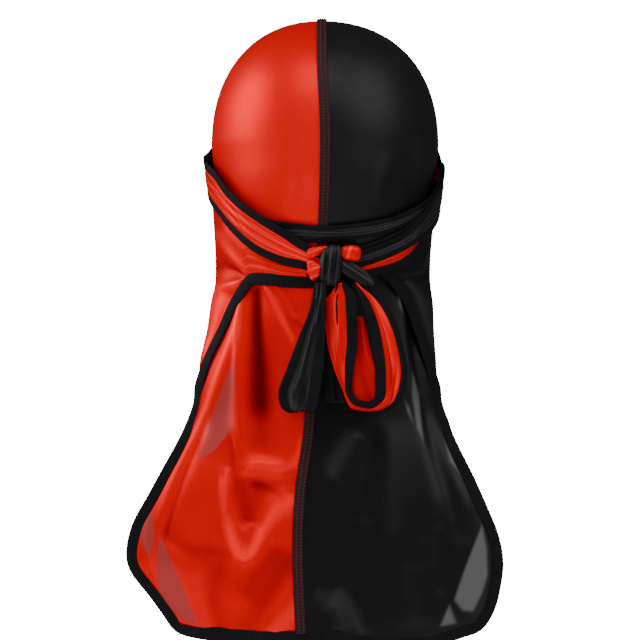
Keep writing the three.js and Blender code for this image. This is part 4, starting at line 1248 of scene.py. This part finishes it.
def knot_middle():
    """Behind the nape, just outside the last wrap."""
    drop = NAPE_DROP * 0.905
    lift = layer_lift(2) + WRAP_PITCH / 2 + KNOT_DEPTH / 2
    back = lifted_point(np.array(drop), np.array(0.0), np.array(lift))[1]
    return np.array([KNOT_ACROSS, back, -drop])


def knot_turn(name, row, material):
    """One visible turn of the knot: a rounded box whose corners are signed roots of a sphere's
    coordinates, with creases as waves along one of its ways, and tilted in the plane of the back."""
    t = {c: values[row] for c, values in KNOT_TURNS.items()}
    polar = np.linspace(0, np.pi, TURN_ROWS)
    turn = np.linspace(0, 2 * np.pi, TURN_RING, endpoint=False)
    polar, turn = np.meshgrid(polar, turn, indexing="ij")
    ball = np.stack([np.sin(polar) * np.cos(turn), np.cos(polar), np.sin(polar) * np.sin(turn)], -1)
    box = signed_root(ball, TURN_ROUNDNESS)
    box[..., 2] *= 1 - t["taper"] * box[..., 0]
    size = [t["wide"] * KNOT_WIDTH - CLEARANCE, KNOT_DEPTH * t["deep"], t["high"] * KNOT_HEIGHT - CLEARANCE]
    lean = np.radians(t["crease_way"])
    phase = t["creases"] * np.pi * (box[..., 0] * np.cos(lean) + box[..., 2] * np.sin(lean))
    crease = 0.07 * np.sin(phase + 0.8) + 0.05 * np.sin(2.3 * phase)
    point = box * np.array(size) / 2
    point[..., 1] *= 1 + crease * (box[..., 1] > 0)
    swing = np.radians(t["tilt"])
    tilted = [[np.cos(swing), 0, np.sin(swing)], [0, 1, 0], [-np.sin(swing), 0, np.cos(swing)]]
    place = knot_middle() + [t["x"] * KNOT_WIDTH, 0, t["z"] * KNOT_HEIGHT]
    points = (point @ np.array(tilted) + place).reshape(-1, 3)
    faces = facing_out(points, [round_faces(TURN_ROWS, TURN_RING)])
    # Painted shade and highlight: the turn is painted somewhat lighter, lighter still on its creases' crests
    # and darker between them.
    return add_piece(name, points, faces, material, points[:, [0, 2]], 0.5 + crease.ravel() * 5)


knot_wrap = knot_turn("knot_upright_turn", 0, black_satin)
knot_red_left = knot_turn("knot_left_turn", 1, red_satin)
knot_red_right = knot_turn("knot_right_turn", 2, red_satin)
knot_black_right = knot_turn("knot_lower_turn", 3, black_satin)
knot_red_top = knot_turn("knot_upper_turn", 4, red_satin)

# Bow and strap end

BOW_STEPS = 200
BOW_COLUMNS = 26
INSIDE_ROWS = 70
INSIDE_COLUMNS = 30
END_ROWS = 110
END_COLUMNS = 20

# The inside of the red loop, from its top to its bottom: middle and half its width, as shares of
# the bow's width.
BOW_INSIDE = table(
    "down middle half",
    (0.26, -0.41, 0.03),
    (0.5, -0.425, 0.095),
    (0.7, -0.45, 0.15),
    (0.85, -0.475, 0.19),
    (0.92, -0.49, 0.16),
)

# How far behind the knot's middle the red loop's inside lies and how far before it the strap's end
# does, as shares of the bow's depth, and how long the end is, as a share of the bow's length.
INSIDE_BACK = 0.18
END_FRONT = 0.75
END_LENGTH = 0.93

# The loops' folds: their height, the mean of the painted shade and highlight, and the folds'
# share in it. Each binding is wider than in the model, and a tucked one lies back by this much.
LOOP_FOLD = 0.9
LOOP_SHADE = 0.45
LOOP_FOLD_SHADE = 0.5
NEAR_TAPE_WIDER = 1.36
FAR_TAPE_WIDER = 1.1
TUCK_BACK = 1.6


def bow_top():
    return knot_middle()[2] - KNOT_HEIGHT / 2 - CLEARANCE / 2


def bow_edge(read, edge):
    """The path of a loop's near or far edge."""
    across = read[f"{edge}_x"] * BOW_WIDTH
    back = knot_middle()[1] + BOW_DEPTH * read[f"{edge}_out"]
    return np.stack([across, back, bow_top() - read[f"{edge}_down"] * BOW_LENGTH], -1)


def bow_loop(name, rows, material, seed):
    """A ribbon carried round a hanging teardrop, from its near edge to its far edge by the tail,
    with soft lengthwise folds: waves from edge to edge whose phase drifts round the loop."""
    at = np.linspace(0, 1, BOW_STEPS)
    read = {c: read_table(rows, c, "round", at) for c in rows}
    near, far = bow_edge(read, "near"), bow_edge(read, "far")
    across = unit(far - near)
    normal = unit(np.cross(np.gradient(near + far, axis=0), across))
    width = np.linalg.norm(far - near, axis=1)
    tape_width = TAPE_WIDTH * np.minimum(width / (4 * TAPE_WIDTH), 1)
    down, wide = np.meshgrid(at, np.linspace(0, 1, BOW_COLUMNS), indexing="ij")
    start = near + across * (tape_width * UNDER_TAPE)[:, None]
    end = far - across * (tape_width * UNDER_TAPE * (1 - read["tuck"]))[:, None]
    point = mix(start[:, None], end[:, None], wide[..., None])
    drift = seed + 2.2 * np.sin(down * 9 + seed)
    waves = np.sin(2 * np.pi * 1.4 * wide + drift) + 0.5 * np.sin(2 * np.pi * 3.1 * wide - drift)
    point = point + normal[:, None] * (np.sin(np.pi * wide) * (LOOP_FOLD * waves))[..., None]
    uv = np.stack([wide * 20, down * 2 * BOW_LENGTH], -1)
    # Painted shade and highlight: the loop is painted somewhat lighter, lighter on its folds' crests and
    # darker in their hollows.
    cloth = satin_sheet(name, point, material, uv, LOOP_SHADE + LOOP_FOLD_SHADE * waves)
    outward = np.sign(np.sum(normal * BACKWARD, -1, keepdims=True) + 1e-6)
    near_path = near + across * (tape_width / 2)[:, None]
    near_normal = unit(normal + 1.2 * outward * BACKWARD)
    tucked = across * (tape_width * (0.5 + read["tuck"]))[:, None]
    far_path = far - (tucked + BACKWARD * (TUCK_BACK * read["tuck"])[:, None])
    near_tape = tape(f"{name}_near_tape", near_path, near_normal, tape_width * NEAR_TAPE_WIDER)
    far_tape = tape(f"{name}_far_tape", far_path, normal, tape_width * FAR_TAPE_WIDER)
    return cloth, [near_tape, far_tape]


bow_right, bow_right_tapes = bow_loop("red_bow_loop", RIGHT_BOW, red_satin, 0.4)
bow_left, bow_left_tapes = bow_loop("black_bow_loop", LEFT_BOW, black_satin, 1.9)


def bow_inside(name, material):
    """The back of the red loop's inside: a leaf that widens downwards and curls out at its right."""
    at = np.linspace(BOW_INSIDE["down"][0], BOW_INSIDE["down"][-1], INSIDE_ROWS)
    middle, half = (read_table(BOW_INSIDE, c, "down", at) * BOW_WIDTH for c in ("middle", "half"))
    down, wide = np.meshgrid(at, np.linspace(-1, 1, INSIDE_COLUMNS), indexing="ij")
    curl = 3.2 * smooth(0.55, 0.9, down) * smooth(0.35, 1, -wide) + 0.7 * np.sin(4 * wide + 7 * down)
    back = knot_middle()[1] + BOW_DEPTH * INSIDE_BACK + curl
    point = np.stack([middle[:, None] + wide * half[:, None], back, bow_top() - down * BOW_LENGTH], -1)
    uv = np.stack([wide * 10, down * BOW_LENGTH], -1)
    # Painted shade and highlight: the leaf is painted darker where it curls least and lighter where it curls
    # out towards the back.
    return satin_sheet(name, point, material, uv, (curl - 1) / FULL_FOLD)


red_inside = bow_inside("red_bow_inside", red_satin)


def strap_end(name, material):
    """The black strap's free end: a flat ribbon that hangs behind the bow, with two soft folds."""
    at = np.linspace(0, 1, END_ROWS)
    read = {c: read_table(STRAP_END, c, "down", at) for c in STRAP_END}
    back = knot_middle()[1] - BOW_DEPTH * (END_FRONT - read["out"])
    down = bow_top() - at * BOW_LENGTH * END_LENGTH
    spine = np.stack([read["middle"] * BOW_WIDTH, back, down], -1)
    half = read["wide"] * BOW_WIDTH / 2
    wide = np.linspace(-1, 1, END_COLUMNS)
    point = np.repeat(spine[:, None], END_COLUMNS, axis=1)
    point[..., 0] += wide * (half - TAPE_WIDTH * UNDER_TAPE)[:, None]
    point[..., 1] += 0.5 * np.cos(np.pi * wide * 1.5 + 3 * at[:, None])
    uv = np.stack(np.broadcast_arrays(wide * 8, at[:, None] * BOW_LENGTH), -1)
    cloth = satin_sheet(name, point, material, uv, np.zeros((END_ROWS, END_COLUMNS)))
    normal = np.broadcast_to(BACKWARD, spine.shape)
    tapes = []
    for label, sign in (("left", 1), ("right", -1)):
        path = spine + np.array([1, 0, 0]) * (sign * (half - TAPE_WIDTH / 2))[:, None]
        tapes.append(tape(f"{name}_{label}_tape", path, normal, TAPE_WIDTH))
    return cloth, tapes


end_piece, end_tapes = strap_end("black_strap_end", black_satin)

# What each piece stands for and its body, with the pieces listed under slot names

STANDS_FOR = {
    "red_satin": {
        "left_panel": left_panel,
        "left_drape": left_drape,
        "left_strap": left_strap,
        "knot_red_left": knot_red_left,
        "knot_red_right": knot_red_right,
        "bow_loop_right": bow_right,
    },
    "black_satin": {
        "right_panel": right_panel,
        "right_drape": right_drape,
        "right_strap": right_strap,
        "knot_wrap": knot_wrap,
        "knot_black_right": knot_black_right,
        "bow_loop_left": bow_left,
        "right_strap_end": end_piece,
    },
    "black_binding": {
        "center_seam": center_seam,
        "front_binding": front_binding,
        "tail_binding": tail_binding,
        "left_strap_upper_binding": left_strap_tapes[0],
        "left_strap_lower_binding": left_strap_tapes[1],
        "right_strap_upper_binding": right_strap_tapes[0],
        "right_strap_lower_binding": right_strap_tapes[1],
        "bow_loop_right_near_binding": bow_right_tapes[0],
        "bow_loop_right_far_binding": bow_right_tapes[1],
        "bow_loop_left_near_binding": bow_left_tapes[0],
        "bow_loop_left_far_binding": bow_left_tapes[1],
        "right_strap_end_left_binding": end_tapes[0],
        "right_strap_end_right_binding": end_tapes[1],
    },
}
for slot, pieces in STANDS_FOR.items():
    for node, piece in pieces.items():
        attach(piece, "root")
        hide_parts(node)
for piece in (stitch_left, stitch_right, knot_red_top, red_inside):
    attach(piece, "root")

# Floor, lights and camera

FLOOR_RADIUS = 2800
FLOOR_HEIGHT = -900
FLOOR_RING = 97


def plain_floor():
    """A wide round plain floor, well under the hem."""
    radius, turn = np.meshgrid([0, FLOOR_RADIUS], np.linspace(0, 2 * np.pi, FLOOR_RING), indexing="ij")
    points = np.stack([radius * np.cos(turn), radius * np.sin(turn), np.full_like(radius, FLOOR_HEIGHT)], -1)
    material = bpy.data.materials.new("floor_paper")
    material.use_nodes = True
    shader = material.node_tree.nodes["Principled BSDF"]
    shader.inputs["Base Color"].default_value = (0.93, 0.93, 0.93, 1)
    shader.inputs["Roughness"].default_value = 0.9
    return add_piece("floor", points, [grid_faces(2, FLOOR_RING, flip=True)], material)


plain_floor()


# All lights aim at this place.
LIGHT_AIM = Vector((0, 0, -0.2))


def soft_light(name, place, size, power, mirrored=True):
    """A square soft light, in metres and watts, turned to its aim. One that isn't mirrored gives
    no gloss, as a wide fill."""
    light = bpy.data.lights.new(name, "AREA")
    light.size = size
    light.energy = power
    lamp = bpy.data.objects.new(name, light)
    lamp.location = place
    lamp.visible_glossy = mirrored
    lamp.rotation_euler = (LIGHT_AIM - Vector(place)).to_track_quat("-Z", "Y").to_euler()
    bpy.context.scene.collection.objects.link(lamp)


soft_light("left_softbox", (1.9, -0.3, 0.65), 1.3, 40)
soft_light("right_softbox", (-1.5, 0.9, 1.1), 1.8, 32)
soft_light("top_softbox", (0.3, 1.2, 1.6), 1.4, 28)
soft_light("camera_softbox", (0.6, 2.5, 0.2), 1.8, 68, mirrored=False)

# The fill lights the piece from all round, and the wall is what the camera sees behind it.
world = bpy.data.worlds.new("studio")
world.use_nodes = True
studio = world.node_tree
fill = studio.nodes["Background"]
fill.inputs["Color"].default_value = (1, 1, 1, 1)
fill.inputs["Strength"].default_value = 0.05
wall = wire(studio, "ShaderNodeBackground", {"Color": (1, 1, 1, 1), "Strength": 16})
seen = wire(studio, "ShaderNodeLightPath").outputs["Is Camera Ray"]
both = wire(studio, "ShaderNodeMixShader", {0: seen, 1: fill.outputs[0], 2: wall.outputs[0]})
studio.links.new(both.outputs[0], studio.nodes["World Output"].inputs["Surface"])
bpy.context.scene.world = world

lens = bpy.data.cameras.new("camera")
lens.sensor_width = SENSOR_MM
lens.lens = SENSOR_MM * FOCAL_PIXELS / IMAGE_SIZE
camera = bpy.data.objects.new("camera", lens)
off_middle = (MIDDLE_COLUMN - IMAGE_SIZE / 2) * MM_PER_PIXEL
camera.location = (off_middle * MM, CAMERA_AWAY * MM, CAMERA_HEIGHT * MM)
camera.rotation_euler = (np.radians(90), 0, np.radians(180))
bpy.context.scene.collection.objects.link(camera)
bpy.context.scene.camera = camera

bpy.context.view_layer.update()
